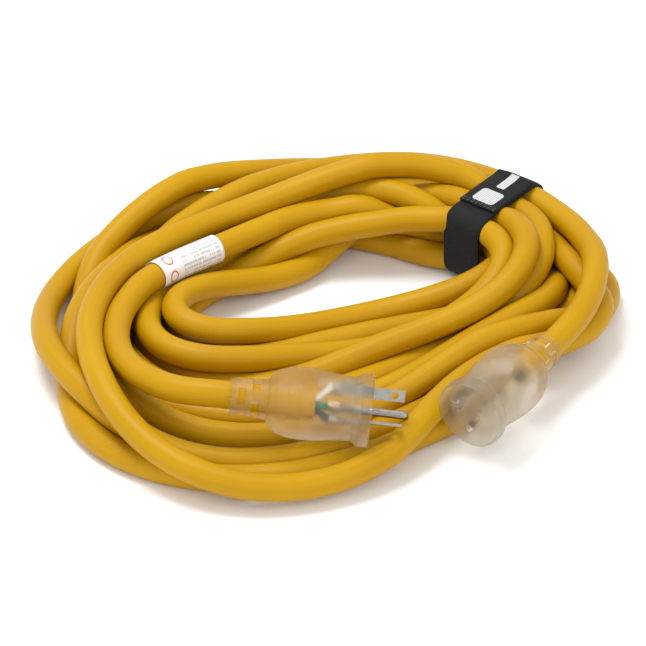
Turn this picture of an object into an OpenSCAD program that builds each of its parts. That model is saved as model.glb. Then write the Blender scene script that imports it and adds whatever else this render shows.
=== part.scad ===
// Heavy three-wire extension cord, coiled flat, with a clear lit plug and a clear lit
// connector on its ends, a wrap-round paper tag near the plug and a woven strap tie.
// Millimetres, +Z up. The coil lies on z = 0, its middle is over the origin, and the two
// ends lie at the front, towards -Y.

/* [Cord] */
// Diameter of the cord's jacket
cord_d = 15.2; // [13:0.1:16]
// Length of jacket that runs inside the plug
plug_jacket_run = 46; // [36:1:48]
// Length of jacket that runs inside the connector
connector_jacket_run = 30; // [24:1:32]

/* [Moulded ends] */
// Length of a moulded end from its strain relief to its face
end_l = 77; // [70:1:90]
// Diameter at the fullest part of a moulded end
bulge_d = 40; // [36:0.5:44]
// Diameter at the waist behind the face
waist_d = 35; // [33:0.5:38]
// Diameter of the flange round the face
flange_d = 40; // [38:0.5:44]
// Thickness of the flange
flange_t = 7.5; // [5:0.5:10]
// Length of the strain relief
relief_l = 20; // [14:1:24]
// Diameter of the strain relief at its rear edge
relief_d = 19.5; // [18:0.1:22]
// Wall between the face and the parts moulded in behind it
face_t = 5; // [4:0.5:6]

/* [Blades and contacts] */
// Width of a flat blade
blade_w = 6.35; // [6:0.05:7]
// Thickness of a flat blade
blade_t = 1.5; // [1.3:0.05:1.8]
// Length of blade past the plug's face
blade_l = 17; // [15:0.5:18.5]
// Distance from the ground pin to the line through the blades
pin_rise = 11.9; // [11.5:0.1:12.5]
// Diameter of the ground pin
pin_d = 4.75; // [4.6:0.05:5]
// Length of ground pin past the plug's face
pin_l = 20; // [18:0.5:22]
// Wall of a contact in the connector
contact_t = 0.6; // [0.4:0.1:0.8]

/* [Tag and strap] */
// Length of the paper tag along the cord
tag_l = 48; // [30:1:54]
// Thickness of the wrapped tag
tag_t = 0.6; // [0.3:0.1:1]
// Width of the strap tie
strap_w = 25; // [19:1:32]
// Thickness of the strap tie
strap_t = 1.8; // [1.2:0.1:2.4]
// Length of the loose end that overlaps the strap's band
tail_l = 34; // [24:1:40]

/* [Hidden] */
$fn = 48;

cord_r = cord_d / 2;
// Clearance between pieces that move past each other or only rest on each other. What is
// moulded into an end has none.
free_gap = 0.3;

// --- Coil -------------------------------------------------------------------------------
// The coil is a closed ring round its open middle. Each station is a direction from the
// middle, 15 degrees from the last, and holds the inner radius, the outer radius, the
// height of the inner strands and the height of the outer strands.
coil_mid = [8, 38];
coil_stations = [
    [70, 164, 28, 25], [88, 165, 28, 25], [72, 148, 30, 30], [56, 138, 30, 28],
    [42, 134, 26, 26], [35, 131, 26, 26], [33, 127, 26, 26], [30, 121, 26, 26],
    [29, 119, 26, 26], [31, 125, 26, 26], [36, 136, 25, 25], [45, 154, 25, 25],
    [63, 180, 24, 24], [92, 179, 24, 24], [102, 185, 24, 24], [85, 200, 24, 24],
    [56, 212, 24, 24], [38, 214, 26, 16], [32, 188, 28, 14], [46, 160, 28, 14],
    [44, 147, 28, 14], [40, 145, 28, 14], [45, 148, 28, 16], [57, 155, 28, 20]
];
coil_steps = 2;
coil_edge = 5;

// --- Strap ------------------------------------------------------------------------------
// The strap's band stands square to the strands that it ties, at this place and turn.
strap_at = [101, 83];
strap_turn = 52;
strap_in_w = 62;
strap_in_h = 41;
strap_corner = 9;

// --- Moulded ends -----------------------------------------------------------------------
// Place of each end's flex point on the cord, its turn about Z and its dip of the nose.
plug_at = [-62, -111, 43];
plug_turn = -4;
plug_dip = 5;
plug_roll = -39;
connector_at = [131.5, -43.5, 31];
connector_turn = 234;
connector_dip = 0;
connector_roll = 90;
// The strain relief starts this far in front of the flex point.
stub_l = 12;

// --- Leads ------------------------------------------------------------------------------
// Routes of the cord from the coil to each end, chosen so that they lie on the coil.
plug_route = [
    [32, 103, 19], [8, 92, 24], [-16, 78, 29], [-38, 61, 33], [-60, 44, 33.5],
    [-81, 27, 33.5], [-99, 9, 33.5], [-111, -11, 33.5], [-117, -35, 33.5],
    [-114, -61, 34.5], [-103, -84, 37], [-85, -101, 40]
];
connector_route = [
    [122, 96, 28], [140, 74, 33], [152, 46, 33], [156, 14, 33], [149, -18, 32]
];
tube_sides = 10;

// Places of the line blade, the neutral blade and the ground pin on the plug's face. The
// connector's face is its mirror image.
blade_y = -3.55;
line_at = [blade_y, -6.35];
neutral_at = [blade_y, 6.35 + blade_w / 2];
ground_at = [blade_y + pin_rise, 0];

// Inside each end: the block behind the face that holds the metal, and the space behind it.
face_x = stub_l + end_l;
block_d = 30;
plug_block_l = 13;
socket_block_l = 24;
space_d = 28;
barrel_d = 5.4;
barrel_l = 5;
wire_d = 4.2;
core_r = 4;
hole_d = 4;
hole_from_tip = 5.5;
pin_stem_d = 4;
lamp_d = 3.6;
lamp_l = 6.3;
resistor_d = 2.2;
resistor_l = 6;

// ======================================================================= helper functions

function catmull(a, b, c, d, t) =
    0.5 * ((2 * b) + (c - a) * t + (2 * a - 5 * b + 4 * c - d) * t * t
    + (3 * b - a - 3 * c + d) * t * t * t);

// A smooth run through a list of points, each stretch cut into the same number of steps.
function smooth_open(p, steps) = [
    for (i = [0 : len(p) - 2], k = [0 : steps - 1])
        catmull(p[max(i - 1, 0)], p[i], p[i + 1], p[min(i + 2, len(p) - 1)], k / steps),
    p[len(p) - 1]
];

function smooth_ring(p, steps) = [
    for (i = [0 : len(p) - 1], k = [0 : steps - 1])
        let (n = len(p))
        catmull(p[(i + n - 1) % n], p[i], p[(i + 1) % n], p[(i + 2) % n], k / steps)
];

function unit(v) = v / norm(v);

// The cord's direction at point i of a run.
function heading(p, i) = unit(p[min(i + 1, len(p) - 1)] - p[max(i - 1, 0)]);

// The ring of points round the cord at point c, square to direction d.
function cord_ring(c, d, r, sides) =
    let (side = unit(cross(d, [0, 0, 1])), up = cross(side, d))
    [for (k = [0 : sides - 1]) c + r * (cos(360 * k / sides) * side + sin(360 * k / sides) * up)];

function tube_faces(rings, sides) = concat(
    [[for (k = [0 : sides - 1]) k]],
    [[for (k = [sides - 1 : -1 : 0]) (rings - 1) * sides + k]],
    [for (i = [0 : rings - 2], k = [0 : sides - 1])
        [i * sides + k, (i + 1) * sides + k, (i + 1) * sides + (k + 1) % sides]],
    [for (i = [0 : rings - 2], k = [0 : sides - 1])
        [i * sides + k, (i + 1) * sides + (k + 1) % sides, i * sides + (k + 1) % sides]]
);

// The point at which an end's flex point sits and the direction in which it points.
function end_heading(turn, dip) = [cos(turn) * cos(dip), sin(turn) * cos(dip), -sin(dip)];

// =============================================================================== helpers

// A cord swept along a run of points, closed by a ball on its last point.
module cord_tube(points, last_heading) {
    n = len(points);
    rings = [
        for (i = [0 : n - 1])
            cord_ring(points[i], i == n - 1 ? last_heading : heading(points, i), cord_r, tube_sides)
    ];
    tip = [
        for (a = [30, 60])
            cord_ring(points[n - 1] + last_heading * cord_r * sin(a), last_heading,
                cord_r * cos(a), tube_sides)
    ];
    all_rings = concat(rings, tip);
    polyhedron(
        points = [for (r = all_rings) for (q = r) q],
        faces = tube_faces(len(all_rings), tube_sides)
    );
}

// Places an end's own frame: its axis along +X, its flex point at the origin.
module at_plug() {
    translate(plug_at) rotate([0, 0, plug_turn]) rotate([0, plug_dip, 0])
        rotate([plug_roll, 0, 0]) children();
}

module at_connector() {
    translate(connector_at) rotate([0, 0, connector_turn]) rotate([0, connector_dip, 0])
        rotate([connector_roll, 0, 0]) children();
}

module at_strap() {
    translate([strap_at[0], strap_at[1], 0]) rotate([0, 0, strap_turn]) children();
}

// Turns a profile drawn as (distance along the axis, radius) into a solid along +X.
module lathe_x(profile) {
    rotate([0, 90, 0]) rotate_extrude($fn = 48)
        polygon([for (p = profile) [p[1], p[0]]]);
}

module rod_x(x0, x1, d) {
    translate([x0, 0, 0]) rotate([0, 90, 0]) cylinder(d = d, h = x1 - x0);
}

module box_x(x0, x1, y, z, w, h) {
    translate([x0, y - w / 2, z - h / 2]) cube([x1 - x0, w, h]);
}

module rod_at(x0, x1, y, z, d) {
    translate([0, y, z]) rod_x(x0, x1, d);
}

// ================================================================= moulded ends, shared

// The outside of an end as (distance along the axis, radius), from strain relief to face.
function end_outline() =
    let (xr = stub_l + relief_l, xf = face_x, x_waist = xf - flange_t - 3,
        x_bulge = xr + 0.4 * (x_waist - xr),
        r_rear = relief_d / 2, r_root = relief_d / 2 + 1.3, r_bulge = bulge_d / 2,
        r_waist = waist_d / 2, r_face = flange_d / 2)
    concat(
        [[stub_l, r_rear], [xr, r_root]],
        [for (a = [22.5 : 22.5 : 90])
            [xr + (x_bulge - xr) * (1 - cos(a)), r_root + (r_bulge - r_root) * sin(a)]],
        [for (t = [0.2 : 0.2 : 1])
            [x_bulge + (x_waist - x_bulge) * t,
                r_bulge + (r_waist - r_bulge) * (1 - cos(180 * t)) / 2]],
        [[xf - flange_t, r_face - 0.7], [xf - flange_t + 1, r_face], [xf - 1, r_face],
            [xf, r_face - 1]]
    );

// The clear moulding, hollow where the jacket, the wires and the block sit in it.
module end_shell(jacket_run, block_l) {
    block_x = face_x - face_t - block_l;
    difference() {
        lathe_x(concat([[stub_l, 0]], end_outline(), [[face_x, 0]]));
        rod_x(stub_l - 1, stub_l + jacket_run, cord_d);
        rod_x(stub_l + jacket_run, block_x, space_d);
        rod_x(block_x, face_x - face_t, block_d);
        relief_windows();
    }
}

// Two staggered rows of windows round the strain relief.
module relief_windows() {
    row_pitch = 7.5;
    for (row = [0, 1], k = [0 : 3])
        rotate([90 * k + 45 * row, 0, 0])
            box_x(stub_l + 4 + row_pitch * row, stub_l + 8.5 + row_pitch * row,
                0, cord_r + 3, 9, 10);
}

// The end of the jacket, hollowed at its tail so that it can flex round the cord's tip.
module jacket_end(jacket_run) {
    difference() {
        rod_x(0.42 * cord_r, stub_l + jacket_run, cord_d);
        sphere(r = cord_r + free_gap, $fn = 48);
    }
}

// A wire from the jacket's end to the barrel behind a blade or a contact, with an easy
// double bend between them.
module end_wire(jacket_run, barrel_x, core_angle, at) {
    a = [stub_l + jacket_run, core_r * cos(core_angle), core_r * sin(core_angle)];
    b = [barrel_x, at[0], at[1]];
    steps = 6;
    rings = [
        for (i = [0 : steps])
            let (t = i / steps, s = (1 - cos(180 * t)) / 2)
            cord_ring([a[0] + (b[0] - a[0]) * t, a[1] + (b[1] - a[1]) * s, a[2] + (b[2] - a[2]) * s],
                [1, 0, 0], wire_d / 2, 12)
    ];
    polyhedron(points = [for (r = rings) each r], faces = tube_faces(steps + 1, 12));
}

// The pilot lamp stands on the back of the block, its dome towards the cord.
module lamp(block_x, at) {
    rod_at(block_x - lamp_l + lamp_d / 2, block_x, at[0], at[1], lamp_d);
    translate([block_x - lamp_l + lamp_d / 2, at[0], at[1]]) sphere(d = lamp_d, $fn = 32);
}

// The lamp's resistor stands beside it, a thin body with a collar at each end.
module resistor(block_x, at) {
    rod_at(block_x - resistor_l, block_x, at[0], at[1], resistor_d);
    for (x = [0.4, resistor_l - 1.9])
        rod_at(block_x - resistor_l + x, block_x - resistor_l + x + 1.5, at[0], at[1],
            resistor_d + 0.5);
}

// Mirrors a place on the plug's face into its place on the connector's face.
function mated(at) = [-at[0], at[1]];

// ================================================================================= coil

// One cross-section of the coil as (radius, height), round-edged, lower outside than in
// where the ends of the cord lie on it.
function coil_section(ri, ro, hi, ho) =
    let (e = coil_edge)
    concat(
        [[ri + e, 0], [ri, e]],
        [for (a = [0 : 45 : 90]) [ri + e * (1 - cos(a)), hi - e + e * sin(a)]],
        [[ri + 0.45 * (ro - ri), hi], [ri + 0.62 * (ro - ri), ho]],
        [for (a = [90 : -45 : 0]) [ro - e * (1 - cos(a)), ho - e + e * sin(a)]],
        [[ro, e], [ro - e, 0]]
    );

module coil_ring() {
    s = smooth_ring(coil_stations, coil_steps);
    n = len(s);
    m = len(coil_section(50, 100, 20, 20));
    polyhedron(
        points = [
            for (i = [0 : n - 1], q = coil_section(s[i][0], s[i][1], s[i][2], s[i][3]))
                let (a = 360 * i / n)
                [coil_mid[0] + q[0] * cos(a), coil_mid[1] + q[0] * sin(a), q[1]]
        ],
        faces = concat(
            [for (i = [0 : n - 1], k = [0 : m - 1])
                [i * m + k, ((i + 1) % n) * m + (k + 1) % m, i * m + (k + 1) % m]],
            [for (i = [0 : n - 1], k = [0 : m - 1])
                [i * m + k, ((i + 1) % n) * m + k, ((i + 1) % n) * m + (k + 1) % m]]
        )
    );
}

// The stretch of the coil that the strap squeezes, as long as the given length.
module tied_stretch(length) {
    w = strap_in_w - 2 * free_gap;
    h = strap_in_h - 2 * free_gap;
    r = strap_corner;
    translate([0, length / 2, strap_t + free_gap]) rotate([90, 0, 0])
        linear_extrude(height = length) union() {
            translate([-w / 2, 0]) square([w, h - r]);
            translate([-w / 2 + r, 0]) square([w - 2 * r, h]);
            for (s = [-1, 1]) translate([s * (w / 2 - r), h - r]) circle(r = r);
        }
}

module cord_coil() {
    color([0.84, 0.68, 0.02]) union() {
        difference() {
            coil_ring();
            at_strap() translate([-60, -strap_w / 2 - 1, -1]) cube([120, strap_w + 2, 80]);
        }
        at_strap() tied_stretch(strap_w + 8);
    }
}

module plug_lead() {
    run = smooth_open(concat(plug_route, [plug_at]), 3);
    color([0.84, 0.68, 0.02]) cord_tube(run, end_heading(plug_turn, plug_dip));
}

module connector_lead() {
    run = smooth_open(concat(connector_route, [connector_at]), 3);
    color([0.84, 0.68, 0.02]) cord_tube(run, end_heading(connector_turn, connector_dip));
}

// ================================================================================= plug

plug_block_x = face_x - face_t - plug_block_l;
plug_barrel_x = plug_block_x - barrel_l;

// The line blade stands with its width across the line through the blades.
module line_blade_shape(x0, x1) {
    box_x(x0, x1, line_at[0], line_at[1], blade_w, blade_t);
}

// The neutral blade has its width along the line through the blades.
module neutral_blade_shape(x0, x1) {
    box_x(x0, x1, neutral_at[0], neutral_at[1], blade_t, blade_w);
}

module pin_stem_shape(x0, x1) {
    rod_at(x0, x1, ground_at[0], ground_at[1], pin_stem_d);
}

// The three passages that the blades and the pin's stem fill.
module plug_passages(x0, x1) {
    line_blade_shape(x0, x1);
    neutral_blade_shape(x0, x1);
    pin_stem_shape(x0, x1);
}

module plug_body() {
    color([0.86, 0.82, 0.74, 0.6]) at_plug() difference() {
        end_shell(plug_jacket_run, plug_block_l);
        plug_passages(face_x - face_t - 1, face_x + 1);
    }
}

module plug_jacket_end() {
    color([0.84, 0.68, 0.02]) at_plug() jacket_end(plug_jacket_run);
}

module plug_blade_carrier() {
    color([0.9, 0.9, 0.86]) at_plug() difference() {
        rod_x(plug_block_x, face_x - face_t, block_d);
        plug_passages(plug_block_x - 1, face_x);
    }
}

module plug_line_blade() {
    tip = face_x + blade_l;
    color([0.78, 0.78, 0.76]) at_plug() difference() {
        union() {
            line_blade_shape(plug_block_x, tip);
            rod_at(plug_barrel_x, plug_block_x, line_at[0], line_at[1], barrel_d);
        }
        translate([tip - hole_from_tip, line_at[0], line_at[1] - 5]) cylinder(d = hole_d, h = 10);
    }
}

module plug_neutral_blade() {
    tip = face_x + blade_l;
    color([0.78, 0.78, 0.76]) at_plug() difference() {
        union() {
            neutral_blade_shape(plug_block_x, tip);
            rod_at(plug_barrel_x, plug_block_x, neutral_at[0], neutral_at[1], barrel_d);
        }
        translate([tip - hole_from_tip, neutral_at[0] + 5, neutral_at[1]]) rotate([90, 0, 0])
            cylinder(d = hole_d, h = 10);
    }
}

module plug_ground_pin() {
    tip = face_x + pin_l - pin_d / 2;
    color([0.78, 0.78, 0.76]) at_plug() union() {
        pin_stem_shape(plug_block_x, face_x);
        rod_at(face_x, tip, ground_at[0], ground_at[1], pin_d);
        translate([tip, ground_at[0], ground_at[1]]) sphere(d = pin_d);
        rod_at(plug_barrel_x, plug_block_x, ground_at[0], ground_at[1], barrel_d);
    }
}

module plug_line_wire() {
    color([0.08, 0.08, 0.08]) at_plug()
        end_wire(plug_jacket_run, plug_barrel_x, 240, line_at);
}

module plug_neutral_wire() {
    color([0.92, 0.92, 0.9]) at_plug()
        end_wire(plug_jacket_run, plug_barrel_x, 120, neutral_at);
}

module plug_ground_wire() {
    color([0.1, 0.55, 0.4]) at_plug()
        end_wire(plug_jacket_run, plug_barrel_x, 0, ground_at);
}

module plug_lamp() {
    color([1, 0.75, 0.5]) at_plug() lamp(plug_block_x, [-10, 1]);
}

module plug_resistor() {
    color([0.8, 0.7, 0.5]) at_plug() resistor(plug_block_x, [5.5, 9.5]);
}

// ============================================================================ connector

socket_x = face_x - face_t - socket_block_l;
socket_barrel_x = socket_x - barrel_l;
// Depth of the contacts behind the connector's face, and the slot clearance round a blade.
contact_depth = 22;
slot_gap = 0.35;
contact_x0 = face_x - contact_depth;
contact_x1 = face_x - face_t;
pin_gap = 0.15;

// A slot for the line blade.
module line_slot(grow, x0, x1) {
    at = mated(line_at);
    g = 2 * (slot_gap + grow);
    box_x(x0, x1, at[0], at[1], blade_w + g, blade_t + g);
}

// The T-shaped slot that takes a neutral blade turned either way.
module neutral_slot(grow, x0, x1) {
    at = mated(neutral_at);
    g = 2 * (slot_gap + grow);
    box_x(x0, x1, at[0], at[1], blade_t + g, blade_w + g);
    box_x(x0, x1, at[0], at[1] - blade_w / 2, blade_w + g, blade_t + g);
}

module ground_hole(grow, x0, x1) {
    at = mated(ground_at);
    rod_at(x0, x1, at[0], at[1], pin_d + 2 * (pin_gap + grow));
}

module connector_body() {
    color([0.86, 0.82, 0.74, 0.6]) at_connector() difference() {
        end_shell(connector_jacket_run, socket_block_l);
        line_slot(0, face_x - face_t - 1, face_x + 1);
        neutral_slot(0, face_x - face_t - 1, face_x + 1);
        ground_hole(0, face_x - face_t - 1, face_x + 1);
    }
}

module connector_jacket_end() {
    color([0.84, 0.68, 0.02]) at_connector() jacket_end(connector_jacket_run);
}

module connector_contact_carrier() {
    pocket_x = contact_x0 - contact_t;
    color([0.9, 0.9, 0.86]) at_connector() difference() {
        rod_x(socket_x, contact_x1, block_d);
        line_slot(contact_t, pocket_x, face_x);
        neutral_slot(contact_t, pocket_x, face_x);
        ground_hole(contact_t, pocket_x, face_x);
        for (at = [line_at, neutral_at, ground_at])
            rod_at(socket_x - 1, contact_x0, mated(at)[0], mated(at)[1], barrel_d);
    }
}

// The barrel behind a contact, which holds its wire.
module contact_barrel(at) {
    rod_at(socket_barrel_x, contact_x0, mated(at)[0], mated(at)[1], barrel_d);
}

module connector_line_contact() {
    color([0.8, 0.7, 0.4]) at_connector() union() {
        difference() {
            line_slot(contact_t, contact_x0 - contact_t, contact_x1);
            line_slot(0, contact_x0, contact_x1 + 1);
        }
        contact_barrel(line_at);
    }
}

module connector_neutral_contact() {
    color([0.8, 0.7, 0.4]) at_connector() union() {
        difference() {
            neutral_slot(contact_t, contact_x0 - contact_t, contact_x1);
            neutral_slot(0, contact_x0, contact_x1 + 1);
        }
        contact_barrel(neutral_at);
    }
}

module connector_ground_contact() {
    color([0.8, 0.7, 0.4]) at_connector() union() {
        difference() {
            ground_hole(contact_t, contact_x0 - contact_t, contact_x1);
            ground_hole(0, contact_x0, contact_x1 + 1);
        }
        contact_barrel(ground_at);
    }
}

module connector_line_wire() {
    color([0.08, 0.08, 0.08]) at_connector()
        end_wire(connector_jacket_run, socket_barrel_x, -60, mated(line_at));
}

module connector_neutral_wire() {
    color([0.92, 0.92, 0.9]) at_connector()
        end_wire(connector_jacket_run, socket_barrel_x, 60, mated(neutral_at));
}

module connector_ground_wire() {
    color([0.1, 0.55, 0.4]) at_connector()
        end_wire(connector_jacket_run, socket_barrel_x, 180, mated(ground_at));
}

module connector_lamp() {
    color([1, 0.75, 0.5]) at_connector() lamp(socket_x, [10, 1]);
}

module connector_resistor() {
    color([0.8, 0.7, 0.5]) at_connector() resistor(socket_x, [-5.5, 9.5]);
}

// ======================================================================== tag and strap

// The paper tag is a sleeve round the straightest stretch of the plug's lead.
tag_from = [-97, 11, 33.5];
tag_dir = unit([37, 31, 0]);

module paper_tag() {
    color([0.9, 0.9, 0.9]) translate(tag_from)
        rotate([0, 90, atan2(tag_dir[1], tag_dir[0])]) difference() {
            cylinder(d = cord_d + 2 * free_gap + 2 * tag_t, h = tag_l);
            translate([0, 0, -1]) cylinder(d = cord_d + 2 * free_gap, h = tag_l + 2);
        }
}

// The outline of the strap's loop, grown outwards from its inside.
module strap_outline(grow) {
    w = strap_in_w + 2 * grow;
    h = strap_in_h + grow;
    r = strap_corner + grow;
    translate([-w / 2, strap_t - grow]) square([w, h - r + grow]);
    translate([-w / 2 + r, strap_t - grow]) square([w - 2 * r, h + grow]);
    for (s = [-1, 1]) translate([s * (w / 2 - r), strap_t + strap_in_h + grow - r]) circle(r = r);
}

module strap_band() {
    color([0.1, 0.1, 0.1]) at_strap() translate([0, strap_w / 2, 0]) rotate([90, 0, 0])
        linear_extrude(height = strap_w) difference() {
            strap_outline(strap_t);
            strap_outline(0);
        }
}

// Top of the strap's band, on which the loose end lies.
strap_top = 2 * strap_t + strap_in_h;
tail_x = -strap_in_w / 2 + strap_corner + 1;

module strap_tail() {
    color([0.12, 0.12, 0.12]) at_strap()
        translate([tail_x, -strap_w / 2, strap_top + free_gap]) cube([tail_l, strap_w, strap_t]);
}

// Two rows of stitches across the loose end, near its tip.
module strap_stitches() {
    pitch = 3;
    count = floor((strap_w - 4) / pitch);
    color([0.2, 0.2, 0.2]) at_strap()
        for (row = [0, 1], k = [0 : count])
            translate([tail_x + 5 + 4 * row, (k - count / 2) * pitch, strap_top + free_gap + strap_t])
                rotate([90, 0, 0]) cylinder(d = 0.7, h = 2, center = true, $fn = 16);
}

// ================================================================================ nodes

cord_coil();
plug_lead();
connector_lead();
plug_body();
plug_jacket_end();
plug_blade_carrier();
plug_line_blade();
plug_neutral_blade();
plug_ground_pin();
plug_line_wire();
plug_neutral_wire();
plug_ground_wire();
plug_lamp();
plug_resistor();
connector_body();
connector_jacket_end();
connector_contact_carrier();
connector_line_contact();
connector_neutral_contact();
connector_ground_contact();
connector_line_wire();
connector_neutral_wire();
connector_ground_wire();
connector_lamp();
connector_resistor();
paper_tag();
strap_band();
strap_tail();
strap_stitches();
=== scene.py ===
"""Looks of a coiled, heavy outdoor extension cord with clear moulded ends.

The cord's route is settled first: guide points for each turn are relaxed as one chain
that keeps its spacing, stays clear of itself and resists bending. Every other piece lies
on it.
"""

import logging
import math
from dataclasses import dataclass, field
from enum import Enum
from typing import Optional, Sequence, Union

import bmesh
import bpy
import numpy as np
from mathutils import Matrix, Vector


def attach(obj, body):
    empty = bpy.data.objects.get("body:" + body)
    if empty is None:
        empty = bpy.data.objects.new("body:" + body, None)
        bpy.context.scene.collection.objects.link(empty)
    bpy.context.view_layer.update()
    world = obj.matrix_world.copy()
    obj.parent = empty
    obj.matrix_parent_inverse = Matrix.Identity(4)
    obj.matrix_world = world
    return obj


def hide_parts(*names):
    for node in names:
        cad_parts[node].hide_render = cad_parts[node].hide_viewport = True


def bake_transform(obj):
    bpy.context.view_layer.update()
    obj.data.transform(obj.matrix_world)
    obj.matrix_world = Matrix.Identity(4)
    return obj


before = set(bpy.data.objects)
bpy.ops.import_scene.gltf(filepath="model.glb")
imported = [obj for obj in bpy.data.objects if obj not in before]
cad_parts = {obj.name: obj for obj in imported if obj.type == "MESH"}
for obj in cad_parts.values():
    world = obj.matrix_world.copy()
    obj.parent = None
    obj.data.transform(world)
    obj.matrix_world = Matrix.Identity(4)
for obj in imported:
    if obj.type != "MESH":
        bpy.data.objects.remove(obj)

LOG = logging.getLogger("extension_cord")
MM = 0.001
CORD_PLACE = "cord_place"
UV_LAYER = "UVMap"

Colour = tuple[float, float, float]
Point = tuple[float, float, float]


# --------------------------------------------------------------------------- measurements


@dataclass(frozen=True)
class Cord:
    """Sizes of the cord itself, in millimetres.

    Args:
        diameter: Outer diameter of the jacket.
        length: Length that the chain is given. The relaxed route comes out under one
            per cent shorter, because the chain settles a little short of its spacing.
        spacing: Distance between the points of the chain that is relaxed.
        ring_spacing: Distance between the rings of the finished tube.
        sides: Number of sides of the finished tube.
        swell: What the tube's radius gains, so that its flat sides keep the jacket's size.
    """

    diameter: float = 15.2
    length: float = 7650.0
    spacing: float = 6.0
    ring_spacing: float = 4.0
    sides: int = 24
    swell: float = 0.05

    @property
    def radius(self) -> float:
        """Returns:
        The jacket's outer radius in millimetres.
        """
        return self.diameter / 2


@dataclass(frozen=True)
class EndPlace:
    """Where a moulded end flexes on the cord and where it points.

    Args:
        at: The flex point, in millimetres.
        turn: Turn about Z, in degrees.
        dip: Dip of the nose below the horizontal, in degrees.
    """

    at: Point
    turn: float
    dip: float

    @property
    def axis(self) -> np.ndarray:
        """Returns:
        The direction from the flex point to the end's face.
        """
        turn, dip = math.radians(self.turn), math.radians(self.dip)
        return np.array(
            [
                math.cos(turn) * math.cos(dip),
                math.sin(turn) * math.cos(dip),
                -math.sin(dip),
            ]
        )

    def along(self, distance: float) -> np.ndarray:
        """Finds a point on the end's axis.

        Args:
            distance: Millimetres in front of the flex point.

        Returns:
            The point in the row frame, in millimetres.
        """
        return np.array(self.at) + self.axis * distance


@dataclass(frozen=True)
class StrapPlace:
    """Where the strap ties the strands, in millimetres and degrees.

    Args:
        at: Middle of the strap's loop in plan.
        turn: Turn of the loop's width about Z.
        width: Width of the webbing.
        thickness: Thickness of the webbing.
        inner_w: Inner width of the loop.
        inner_h: Inner height of the loop.
    """

    at: tuple[float, float] = (101.0, 83.0)
    turn: float = 52.0
    width: float = 25.0
    thickness: float = 1.8
    inner_w: float = 62.0
    inner_h: float = 41.0

    @property
    def across(self) -> np.ndarray:
        """Returns:
        The direction across the strands, away from the coil's middle.
        """
        a = math.radians(self.turn)
        return np.array([math.cos(a), math.sin(a), 0.0])

    @property
    def along(self) -> np.ndarray:
        """Returns:
        The direction in which the strands run through the strap.
        """
        a = math.radians(self.turn)
        return np.array([math.sin(a), -math.cos(a), 0.0])

    def point(self, across: float, along: float, height: float) -> np.ndarray:
        """Finds a point from its place in the strap's own frame.

        Args:
            across: Millimetres across the strands from the loop's middle.
            along: Millimetres along the strands from the loop's middle.
            height: Height above the floor.

        Returns:
            The point in the row frame, in millimetres.
        """
        base = np.array([self.at[0], self.at[1], height])
        return base + self.across * across + self.along * along


CORD = Cord()
PLUG = EndPlace((-62.0, -111.0, 43.0), -4.0, 5.0)
CONNECTOR = EndPlace((131.5, -43.5, 31.0), 234.0, 0.0)
STRAP = StrapPlace()
# How far each lead reaches into its moulded end, in front of the flex point.
STUB = 14.0
# Heights of the three layers of strands inside the strap.
LAYER_LOW, LAYER_MID, LAYER_HIGH = 9.8, 22.9, 36.0
# Where the middle of the label is wanted on the plug's lead.
LABEL_MIDDLE: Point = (-79.0, 26.5, 33.5)


# ------------------------------------------------------------------------------ the route


@dataclass(frozen=True)
class Turn:
    """One turn of the coil, from one pass through the strap to the next.

    Args:
        name: What the turn is called in the log.
        slot: Place in the strap at which the turn starts, as (across, height).
        points: Guide points that the turn follows after it, in millimetres. They are
        rounded from a trial layout of the coil, and many were then moved.
        bend: Guide points right after the strap, as (across, along, height).
    """

    name: str
    slot: tuple[float, float]
    points: tuple[Point, ...]
    bend: tuple[Point, ...] = ()


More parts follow.
